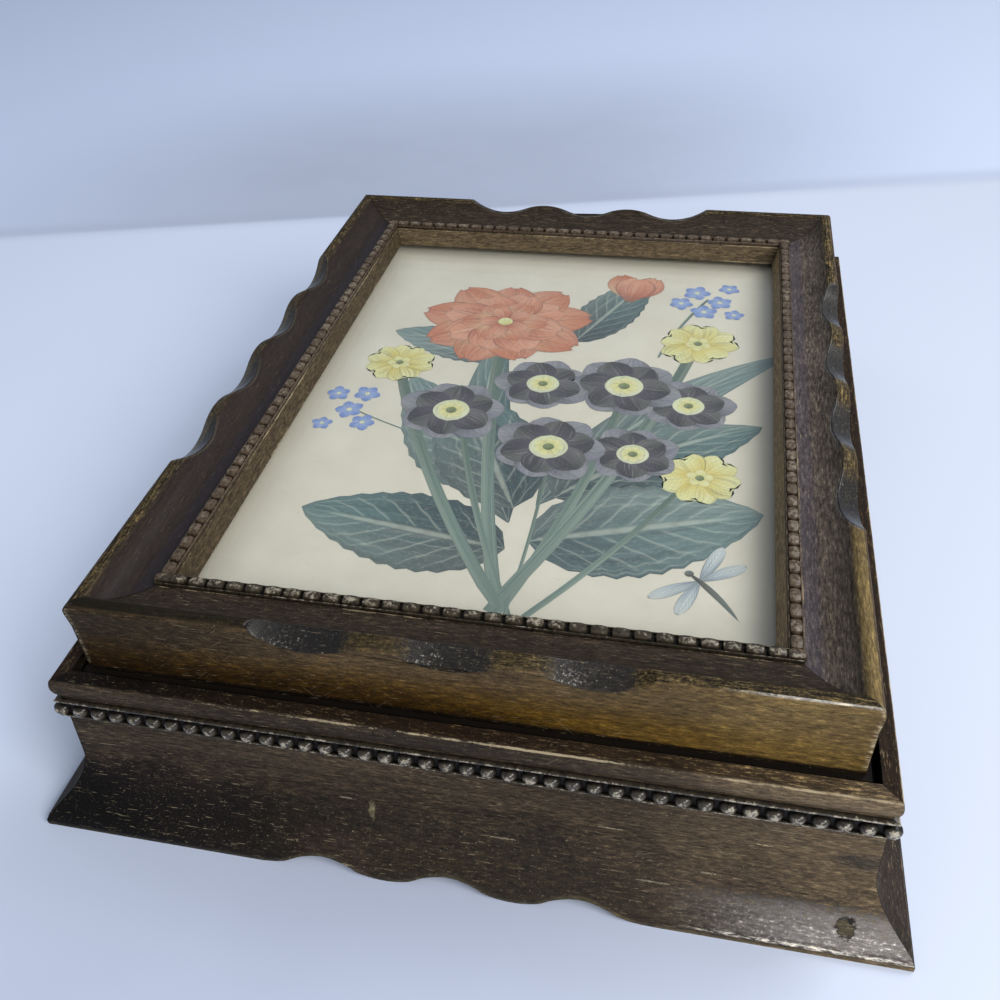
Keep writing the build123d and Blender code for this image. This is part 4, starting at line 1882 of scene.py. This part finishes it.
@dataclass(frozen=True)
class BladeForm:
    """The outline of a petal or leaf of unit length.

    The half width at height v is half_width * sin(pi * v ** swell) ** pinch.
    """

    name: str
    half_width: float
    swell: float = 1.0
    pinch: float = 0.7
    foot: float = 0.0  # least half width, as a share of half_width
    lean: float = 0.0  # sideways at the tip
    notch: float = 0.0  # how deep the tip is cut in
    fray: float = 0.0  # how far the edge is toothed
    columns: int = 6
    rows: int = 14
    least_width: float = 0.004

    def width_at(self, row: int) -> float:
        """Work out the blade's width at a row of its grid.

        Args:
            row: The row, from 0 at the root.

        Returns:
            The width.
        """
        bulge = max(math.sin(math.pi * (row / self.rows) ** self.swell), 0.0)
        width = 2 * self.half_width * max(bulge**self.pinch, self.foot)
        if 0 < row < self.rows:
            width *= 1 + self.fray * (1 if row % 2 else -1)
        return max(width, self.least_width)

    def pattern(self) -> Object:
        """Model the flat blade with its root at the origin and its tip up Y.

        Returns:
            The blade.
        """
        cells = {"x_subdivisions": self.columns, "y_subdivisions": self.rows}
        bpy.ops.mesh.primitive_grid_add(size=1.0, location=(0.0, 0.5, 0.0), **cells)
        blade = settled(bpy.context.object, self.name)
        for row in range(self.rows + 1):
            v = row / self.rows
            with editing(blade, "vertices", lambda p: abs(p.co.y - v) < 0.2 / self.rows):
                stretch(self.width_at(row), 1.0, 1.0, about=(0.0, v, 0.0))
                bpy.ops.transform.translate(value=(self.lean * v * v, 0.0, 0.0))
        if self.notch:
            top, middle = 1.0 - 1.5 / self.rows, self.half_width / self.columns
            with editing(blade, "vertices", lambda p: p.co.y > top and abs(p.co.x) < middle):
                bpy.ops.transform.translate(value=(0.0, -self.notch, 0.0))
        return blade


@dataclass(frozen=True)
class Ring:
    """A ring of a flower's petals; a single one is a round eye."""

    form: BladeForm
    ink: Ink
    count: int
    share: float = 1.0  # of the flower's radius
    turn: float = 0.0
    squash: float = 1.0  # foreshortens it along the facing angle
    facing: float = 90.0
    uneven: float = 0.05  # how far its petals differ in length

    def petal(self, i: int, turn: float) -> Point:
        """Set out one petal of the ring.

        Args:
            i: Which petal.
            turn: The angle of the flower's first petal.

        Returns:
            Its angle and its share of the full length.
        """
        angle = turn + self.turn + i * 360.0 / self.count
        fore = math.cos(math.radians(angle - self.facing))
        share = 1 - (1 - self.squash) * fore * fore
        return angle, share * (1 + self.uneven * math.sin(i * 2.4))


LEAF_FORM = BladeForm("broad_leaf", 0.235, 0.78, 0.72, fray=0.035, rows=22)
LEAF_LEANING = BladeForm("leaning_leaf", 0.20, 0.74, 0.75, lean=0.22, fray=0.03, rows=22)
BLADE_FORM = BladeForm("slim_leaf", 0.085, 0.85, 0.7, lean=0.30)
STEM_FORM = BladeForm("stem", 0.014, 1.0, 0.02, foot=0.6, lean=0.12, columns=2)
OUTER_PETAL = BladeForm("outer_petal", 0.30, 1.35, 0.62, foot=0.18, notch=0.04)
INNER_PETAL = BladeForm("inner_petal", 0.36, 1.25, 0.60, foot=0.22, notch=0.07)
ROUND_PETAL = BladeForm("round_petal", 0.40, 1.25, 0.55, foot=0.16, rows=10)
HEART_PETAL = BladeForm("heart_petal", 0.44, 1.55, 0.50, foot=0.14, notch=0.16, rows=10)
FLORET_PETAL = BladeForm("floret_petal", 0.40, 1.25, 0.55, foot=0.2, columns=4, rows=6)
DISC_FORM = BladeForm("eye", 0.5, 1.0, 0.5, columns=8, rows=12)
WING_FORM = BladeForm("wing", 0.13, 1.5, 0.45, foot=0.2, rows=10)

LEAF_GREEN = Ink((0.022, 0.056, 0.066), (0.090, 0.165, 0.165), 0.62, 0.35)
LEAF_GREY = Ink((0.050, 0.095, 0.105), (0.150, 0.225, 0.220), 0.6, 0.25)
STEM_GREEN = Ink((0.15, 0.22, 0.19), (0.07, 0.12, 0.095), 0.0, 0.4)
CORAL = Ink((0.60, 0.36, 0.20), (0.50, 0.155, 0.075), 0.2, 0.55)
CORAL_DEEP = Ink((0.42, 0.11, 0.05), (0.62, 0.27, 0.16), 0.2, 0.8)
PLUM_NAVY = Ink((0.060, 0.050, 0.080), (0.014, 0.015, 0.026), 0.1, 0.3)
PLUM_RIM = Ink((0.025, 0.024, 0.036), (0.20, 0.20, 0.24), 0.2, 0.5)
EYE_YELLOW = Ink((0.62, 0.58, 0.22), (0.70, 0.66, 0.34), 0.0, 0.5)
EYE_CREAM = Ink((0.66, 0.66, 0.46), (0.60, 0.62, 0.38), 0.0, 0.3)
EYE_GREEN = Ink((0.11, 0.15, 0.06), (0.18, 0.22, 0.08), 0.0, 0.8)
PALE_YELLOW = Ink((0.62, 0.50, 0.12), (0.68, 0.66, 0.33), 0.3, 0.45)
FORGET_BLUE = Ink((0.28, 0.37, 0.62), (0.13, 0.22, 0.52), 0.1, 0.35)
WING_BLUE = Ink((0.30, 0.36, 0.42), (0.52, 0.55, 0.55), 0.9, 0.8)
INSECT_DARK = Ink((0.05, 0.05, 0.045), (0.10, 0.13, 0.12), 0.0, 0.9)

PEONY = (
    Ring(OUTER_PETAL, CORAL, 9, 1.0, 12.0, 0.86),
    Ring(INNER_PETAL, CORAL_DEEP, 8, 0.74, 30.0, 0.88),
    Ring(INNER_PETAL, CORAL, 6, 0.50, 5.0, 0.9),
    Ring(INNER_PETAL, CORAL_DEEP, 5, 0.32, 40.0),
    Ring(DISC_FORM, EYE_YELLOW, 1, 0.085),
)
ANEMONE = (
    Ring(ROUND_PETAL, PLUM_RIM, 7, 1.0, 0.0, 0.9, 70.0),
    Ring(ROUND_PETAL, PLUM_NAVY, 6, 0.84, 20.0, 0.9, 70.0),
    Ring(DISC_FORM, EYE_CREAM, 1, 0.34),
    Ring(FLORET_PETAL, EYE_YELLOW, 7, 0.26),
    Ring(DISC_FORM, EYE_GREEN, 1, 0.10),
)
PRIMROSE = (
    Ring(HEART_PETAL, PALE_YELLOW, 5, 1.0, 0.0, 0.88, 110.0),
    Ring(FLORET_PETAL, EYE_YELLOW, 5, 0.30, 36.0),
    Ring(DISC_FORM, EYE_GREEN, 1, 0.10),
)
FLORET = (Ring(FLORET_PETAL, FORGET_BLUE, 5), Ring(DISC_FORM, EYE_CREAM, 1, 0.2))

# The leaves behind the flowers, fanned out from the tie: root, angle, length and width
LEAVES = (
    (LEAF_FORM, LEAF_GREY, (-10, 26), 168, (46, 44)),
    (LEAF_FORM, LEAF_GREEN, (6, 36), 66, (52, 42)),
    (BLADE_FORM, LEAF_GREY, (8, -48), 68, (104, 100)),
    (BLADE_FORM, LEAF_GREEN, (2, -56), 118, (96, 96)),
    (LEAF_LEANING, LEAF_GREEN, (12, -44), 50, (66, 72)),
    (LEAF_LEANING, LEAF_GREY, (0, -40), 146, (62, 76)),
    (LEAF_FORM, LEAF_GREEN, (2, -50), 116, (62, 66)),
    (LEAF_FORM, LEAF_GREY, (8, -62), 18, (62, 74)),
    (LEAF_FORM, LEAF_GREEN, (3, -66), 172, (58, 62)),
)
# A bud, in the same columns
BUD = (
    (OUTER_PETAL, CORAL_DEEP, (21, 66), 62, (19, 20)),
    (OUTER_PETAL, CORAL, (21, 66), 104, (19, 20)),
    (INNER_PETAL, CORAL_DEEP, (21, 65), 82, (18, 20)),
)
# The stems, gathered low down: foot, head and bow
STEMS = (
    ((6, -90), (-18, 40), 1.0),
    ((4, -92), (26, 10), -1.0),
    ((9, -90), (-22, -8), 0.8),
    ((7, -93), (8, -28), -0.5),
    ((3, -88), (46, 40), -1.0),
    ((10, -91), (48, -30), -0.9),
    ((5, -86), (-48, 16), 1.1),
    ((34, 30), (48, 70), 0.9),
    ((-30, -22), (-58, -10), 0.6),
)
# Loose sprays of blue florets: middle and radius
SPRAYS = (
    (44, 74, 4.8), (52, 68, 4.4), (39, 66, 4.2), (47, 61, 4.6), (55, 78, 3.6), (57, 60, 3.4),
    (-56, -12, 4.4), (-50, -18, 4.0), (-62, -4, 3.8), (-53, -3, 4.2), (-62, -20, 3.2),
)
# The flowers: middle, radius, level in the stack of prints and turn
FLOWERS = (
    (PRIMROSE, (46, 40), 14.0, 18, 15.0),
    (PRIMROSE, (50, -30), 12.5, 18, 50.0),
    (PRIMROSE, (-48, 16), 12.5, 18, 80.0),
    (ANEMONE, (0, 10), 15.0, 18, 25.0),
    (ANEMONE, (45, 4), 14.0, 18, 60.0),
    (ANEMONE, (-25, -8), 16.5, 20, 10.0),
    (ANEMONE, (25, 12), 17.5, 22, 35.0),
    (ANEMONE, (7, -22), 16.5, 42, 0.0),
    (ANEMONE, (31, -22), 13.5, 20, 75.0),
    (PEONY, (-19, 46), 30.0, 18, 0.0),
)


@dataclass
class Print:
    """The picture print: a sheet of paper with a generic bouquet of garden flowers.

    Places are in mm from the middle of the sheet and angles in degrees from +X.
    """

    sheet_size: Point = (152.0 * MM, 203.0 * MM)
    paper_foot: float = 52.12 * MM
    paper_top: float = 52.19 * MM
    ink_foot: float = 52.205 * MM
    ink_step: float = 0.0028 * MM
    paper_cells: tuple[int, int] = (30, 40)
    cockle_spread: float = 0.05
    cockle: float = 0.02 * MM
    stem_level: int = 9
    flower_level: int = 18
    forms: dict[str, Object] = field(default_factory=dict)
    motifs: list[Object] = field(default_factory=list)

    def sheet(self) -> Object:
        """Model the paper as a thin sheet that cockles a little.

        Returns:
            The sheet.
        """
        paper = thin_grid("print_paper", self.paper_cells, self.sheet_size, self.paper_top)
        thickness = (self.paper_top - self.paper_foot) * 0.6  # the rest is left to the cockles
        return thickened(paper, self.cockle_spread, self.cockle, thickness)

    def _inked(
        self, form: BladeForm, ink: Ink, at: Point, angle: float, size: Point, level: int
    ) -> None:
        """Print one blade.

        Args:
            form: Its outline.
            ink: Its inks.
            at: Its root.
            angle: The way its tip points.
            size: Its length and the scale of its width, in mm.
            level: How far up in the stack of prints it lies.
        """
        if form.name not in self.forms:
            self.forms[form.name] = form.pattern()
        height = self.ink_foot + level * self.ink_step
        spot = Matrix.Translation((at[0] * MM, at[1] * MM, height))
        turn = Matrix.Rotation(math.radians(angle - 90.0), 4, "Z")
        scale = Matrix.Diagonal((size[1] * MM, size[0] * MM, 1.0, 1.0))
        blade = copy_of(self.forms[form.name], spot @ turn @ scale)
        seed = len(self.motifs) * 0.731
        for name, kind, key, value in (
            ("ink_root", "FLOAT_COLOR", "color", (*ink.root, 1.0)),
            ("ink_tip", "FLOAT_COLOR", "color", (*ink.tip, 1.0)),
            ("ink_draw", "FLOAT_VECTOR", "vector", (ink.vein, ink.line, seed)),
        ):
            attribute = blade.data.attributes.new(name, kind, "POINT")
            attribute.data.foreach_set(key, value * len(blade.data.vertices))
        self.motifs.append(blade)

    def _eye(self, ink: Ink, at: Point, radius: float, level: int) -> None:
        """Print a round eye."""
        self._inked(DISC_FORM, ink, (at[0], at[1] - radius), 90.0, (2 * radius, 2 * radius), level)

    def _flower(
        self, rings: Sequence[Ring], at: Point, radius: float, level: int, turn: float
    ) -> None:
        """Print a flower.

        Args:
            rings: Its rings of petals and its eye, from the lowest up.
            at: Its middle.
            radius: Its radius in mm.
            level: How far up in the stack of prints it starts.
            turn: The angle of its first petal.
        """
        for ring in rings:
            length = radius * ring.share
            if ring.form is DISC_FORM:
                self._eye(ring.ink, at, length, level)
                level += 1
                continue
            for i in range(ring.count):
                angle, share = ring.petal(i, turn)
                self._inked(ring.form, ring.ink, at, angle, (length * share, length), level)
                level += 1

    def _stem(self, start: Point, end: Point, bow: float, level: int) -> None:
        """Print a stem.

        Args:
            start: Where it starts.
            end: Where it ends.
            bow: How far it bows, and to which side.
            level: Its level in the stack of prints.
        """
        across, up = end[0] - start[0], end[1] - start[1]
        length = math.hypot(across, up)
        lean = math.atan(STEM_FORM.lean)
        angle = math.degrees(math.atan2(up, across) + lean * bow)
        size = (length * math.cos(lean), length * bow)
        self._inked(STEM_FORM, STEM_GREEN, start, angle, size, level)

    def _dragonfly(self, at: Point, heading: float, size: float, level: int) -> None:
        """Print a small dragonfly.

        Args:
            at: The middle of its wings.
            heading: The way it flies.
            size: A wing's length.
            level: Its lowest level in the stack of prints.
        """
        for i, (turn, reach) in enumerate(((72, 1.0), (-72, 1.0), (108, 0.92), (-108, 0.92))):
            self._inked(WING_FORM, WING_BLUE, at, heading + turn, (size * reach, size), level + i)
        ahead = math.radians(heading)
        head = (at[0] + math.cos(ahead) * size * 0.25, at[1] + math.sin(ahead) * size * 0.25)
        body = (size * 1.3, size * 0.7)
        self._inked(BLADE_FORM, INSECT_DARK, head, heading + 180.0, body, level + 5)
        self._eye(INSECT_DARK, head, size * 0.08, level + 6)

    def bouquet(self) -> Object:
        """Print the whole bouquet as one flat mesh with UVs and ink attributes.

        Returns:
            The bouquet.
        """
        for level, leaf in enumerate(LEAVES):
            self._inked(*leaf, level)
        for level, stem in enumerate(STEMS, self.stem_level):
            self._stem(*stem, level)
        for i, (x, y, radius) in enumerate(SPRAYS):
            self._flower(FLORET, (x, y), radius, self.flower_level + (i % 3) * 6, i * 31.0)
        for flower in FLOWERS:
            self._flower(*flower)
        for level, petal in enumerate(BUD, self.flower_level):
            self._inked(*petal, level)
        self._dragonfly((52, -70), 140.0, 14.0, 20)
        discard(*self.forms.values())
        return joined(self.motifs, "print_bouquet")

    def build(self) -> None:
        """Build the sheet and the bouquet and hang them on the lid."""
        place(self.sheet(), Body.LID, PAPER.material(), ["print_sheet"])
        place(self.bouquet(), Body.LID, INK.material())


@dataclass(frozen=True)
class Lining:
    """The felt laid on the bottom panel, inside the tray."""

    width: float = 167.0 * MM
    length: float = 218.0 * MM
    foot: float = 6.0 * MM
    thickness: float = 1.0 * MM
    corner: float = 3.0 * MM
    cells: tuple[int, int] = (42, 54)
    nap_spread: float = 0.02
    nap: float = 0.25 * MM

    def cloth(self) -> Object:
        """Model the felt: a sheet with round corners whose nap lies unevenly.

        Returns:
            The felt.
        """
        size = (self.width, self.length)
        felt = thin_grid("felt_lining", self.cells, size, self.foot + self.thickness)
        x, y = (extent / 2 - TINY for extent in size)
        with editing(felt, "vertices", lambda v: abs(v.co.x) > x and abs(v.co.y) > y):
            bpy.ops.mesh.bevel(offset=self.corner, segments=3, affect="VERTICES")
        thickness = self.thickness * 0.7  # the rest is left to the nap
        return thickened(felt, self.nap_spread, self.nap, thickness)

    def build(self) -> None:
        """Build the felt and lay it in the base."""
        felt = self.cloth()
        place(felt, Body.BASE, FELT.material(), ["felt_pad"])


@dataclass(frozen=True)
class HingeScrews:
    """Slotted countersunk screws in the hinge leaves at the back."""

    body: Body
    height: float
    face_y: float = 114.85 * MM
    places: tuple[float, ...] = (-67.5 * MM, -52.5 * MM, 52.5 * MM, 67.5 * MM)
    rim: float = 0.1 * MM
    head_radius: float = 1.3 * MM
    head_depth: float = 0.6 * MM
    shank_radius: float = 0.68 * MM
    length: float = 3.9 * MM
    point: float = 0.5 * MM
    slot_width: float = 0.46 * MM
    slot_depth: float = 0.4 * MM
    first_turn: float = 20.0  # degrees, of the first screw's slot
    next_turn: float = 47.0  # and how much further each next one is turned
    smooth: float = 35.0

    def _pattern(self) -> Object:
        """Model one slotted screw with its head at the origin, looking up Z.

        Returns:
            The screw.
        """
        head = {"radius": self.head_radius, "depth": self.rim}
        middle = (0.0, 0.0, -self.rim / 2)
        bpy.ops.mesh.primitive_cylinder_add(vertices=24, location=middle, **head)
        screw = settled(bpy.context.object, "screw_pattern")
        for drop, shrink in (
            (self.head_depth - self.rim, self.shank_radius / self.head_radius),
            (self.length - self.head_depth, 0.9),
            (self.point, 0.15),
        ):
            lowest = min(f.center.z for f in screw.data.polygons) + TINY
            with editing(screw, "polygons", lambda f: f.center.z < lowest and f.normal.z < -LEVEL):
                sink(drop)
                stretch(shrink, shrink, 1.0)
        groove(screw, -self.slot_width / 2, self.slot_width / 2, self.slot_depth)
        return screw

    def build(self, finish: Material, slot: str) -> None:
        """Build the four screws and drive them in.

        Args:
            finish: Their material.
            slot: Not used.
        """
        pattern = self._pattern()
        driven = []
        for i, x in enumerate(self.places):
            spin = Matrix.Rotation(math.radians(self.first_turn + self.next_turn * i), 4, "Z")
            face = Matrix.Rotation(math.radians(-90.0), 4, "X")
            spot = Matrix.Translation((x, self.face_y, self.height))
            driven.append(copy_of(pattern, spot @ face @ spin))
        discard(pattern)
        node = f"hinge_{self.body.value}_screws"
        screws = joined(driven, f"{self.body.value}_slotted_screws")
        place(smoothed(screws, self.smooth), self.body, finish, [node])


@dataclass(frozen=True)
class FloorFinish:
    """A pale table that is a shade darker beyond its far edge line, with painted shadows, light
    and tints on it.
    """

    name: str = "pale_floor"
    near: tuple[Colour, Colour] = ((0.610, 0.680, 0.825), (0.565, 0.610, 0.715))
    shade: Colour = (0.385, 0.425, 0.545)
    far: tuple[Colour, Colour] = ((0.575, 0.650, 0.840), (0.640, 0.700, 0.810))
    wall_shadow: Colour = (0.330, 0.370, 0.460)
    seam: Colour = (0.36, 0.40, 0.51)
    mottle: Colour = (0.57, 0.63, 0.77)

    def material(self) -> Material:
        """Build the floor's material.

        Returns:
            The material.
        """
        g = Graph(self.name)
        x, y, z = g.place()
        beyond = y - x * 0.254 - 271.0
        # Bluer at the left, where the table lies in shade: a painted tint of the shade
        near = Paint(g, g.mix(*self.near, x.rise(-150.0, 250.0)))
        # Painted shadow in front of the box, towards the left
        shade = (x * 0.35 - y).rise(50.0, 150.0) * x.rise(150.0, -40.0)
        near.lay(self.shade, shade * 0.85)
        # Lighter at the right beyond the edge line: painted light
        far = Paint(g, g.mix(*self.far, x.rise(-100.0, 600.0)))
        # Painted shadow of the box, cast back and to the left beyond the edge line
        wall_shadow = beyond.rise(300.0, 70.0) * abs(x + 110.0).rise(330.0, 60.0)
        far.lay(self.wall_shadow, wall_shadow * 0.8)
        near.lay(far.colour, beyond.rise(-3.0, 3.0))
        # Painted shade along the edge line
        near.lay(self.seam, abs(beyond - 4.0).rise(14.0, 0.0) * 0.45)
        near.lay(self.mottle, g.noise((x, y, z), 0.02, 4.0, 0.6) * 0.3)
        return g.principled(Base_Color=near.colour, Roughness=0.6, Specular_IOR_Level=0.3)


@dataclass(frozen=True)
class Lamp:
    """A square soft lamp that looks at the box."""

    name: str
    at: tuple[float, float, float]
    size: float
    power: float
    tint: Colour

    def build(self) -> None:
        """Hang the lamp."""
        light = bpy.data.lights.new(self.name, "AREA")
        light.shape, light.size = "SQUARE", self.size
        light.energy, light.color = self.power, self.tint
        lamp = added(self.name, light)
        lamp.location = self.at
        aim = Vector((0.0, 0.0, 0.03)) - lamp.location
        lamp.rotation_euler = aim.to_track_quat("-Z", "Y").to_euler()


@dataclass(frozen=True)
class Stage:
    """Floor, lamps, world and camera."""

    floor_size: float = 6.0
    camera_place: tuple[float, float, float] = (0.04580, -0.24772, 0.22433)
    camera_turn: tuple[float, float, float] = (50.0970, 2.3325, 11.4624)
    lens: float = 36.0
    sensor: float = 36.0
    clip: tuple[float, float] = (0.01, 20.0)
    sky: Colour = (0.80, 0.87, 1.0)
    sky_strength: float = 0.44
    lamps: tuple[Lamp, ...] = (
        Lamp("window", (0.74, -0.50, 0.72), 0.5, 9.0, (1.0, 0.985, 0.96)),
        Lamp("far_window", (0.36, -0.95, 0.42), 0.42, 4.2, (1.0, 0.99, 0.98)),
        Lamp("ceiling", (0.85, 0.75, 1.5), 0.8, 15.0, (0.95, 0.97, 1.0)),
    )

    def floor(self) -> None:
        """Lay the floor."""
        bpy.ops.mesh.primitive_grid_add(x_subdivisions=8, y_subdivisions=8, size=self.floor_size)
        floor = settled(bpy.context.object, "floor")
        floor.data.materials.append(FloorFinish().material())

    def world(self) -> None:
        """Fill the room with a pale light."""
        world = bpy.data.worlds.new("pale_room")
        world.use_nodes = True
        background = world.node_tree.nodes["Background"]
        background.inputs["Color"].default_value = (*self.sky, 1.0)
        background.inputs["Strength"].default_value = self.sky_strength
        bpy.context.scene.world = world

    def camera(self) -> None:
        """Set the camera at the viewing angle."""
        data = bpy.data.cameras.new("camera")
        data.lens, data.sensor_width = self.lens, self.sensor
        data.clip_start, data.clip_end = self.clip
        camera = added("camera", data)
        camera.location = self.camera_place
        camera.rotation_euler = [math.radians(a) for a in self.camera_turn]
        bpy.context.scene.camera = camera

    def build(self) -> None:
        """Set the whole stage."""
        self.floor()
        for lamp in self.lamps:
            lamp.build()
        self.world()
        self.camera()
        bpy.context.scene.view_settings.view_transform = "Standard"


@dataclass(frozen=True)
class Box:
    """The whole box: mouldings, beads, print, lining, hinges and boards."""

    mouldings: tuple[Mouldings, ...] = (
        Mouldings(Body.BASE, BASE_WOOD),
        Mouldings(Body.LID, LID_WOOD),
    )
    beads: tuple[BeadString, ...] = (BASE_BEADS, LID_BEADS)
    screws: tuple[HingeScrews, ...] = (
        HingeScrews(Body.LID, 54.0 * MM),
        HingeScrews(Body.BASE, 40.6 * MM),
    )

    def boards(self) -> None:
        """Dress the plain boards and the glass."""
        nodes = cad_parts
        tray_x, tray_y = TRAY_WOOD_X.material(), TRAY_WOOD_Y.material()
        for side, wood in zip(Side, (tray_x, tray_x, tray_y, tray_y)):
            dress(nodes[f"tray_{side.label}_board"], wood)
        for node, finish in (
            ("bottom_panel", PANEL_WOOD),
            ("backing_board", BACKING),
            ("glass_pane", GLASS),
        ):
            dress(nodes[node], finish.material())

    def metal(self) -> None:
        """Dress the hinges and fasteners and drive the screws."""
        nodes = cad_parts
        brass, dark_brass, steel = BRASS.material(), SCREW_BRASS.material(), STEEL.material()
        for hand in ("left", "right"):
            for part in ("base_leaf", "lid_leaf", "pin"):
                dress(nodes[f"{hand}_hinge_{part}"], brass)
        for node in ("bottom_brads", "framer_points"):
            dress(nodes[node], steel)
        for screws in self.screws:
            screws.build(dark_brass, "brass")

    def build(self) -> None:
        """Build and dress every piece."""
        for rails in self.mouldings:
            rails.build()
        bead_wood = BEAD_WOOD.material()
        for strings in self.beads:
            strings.build(bead_wood)
        self.boards()
        self.metal()
        Print().build()
        Lining().build()


def main() -> None:
    """Build and dress the box, then set the stage."""
    logging.basicConfig(level=logging.INFO, format="%(message)s")
    Box().build()
    Stage().build()


if __name__ == "__main__":
    main()
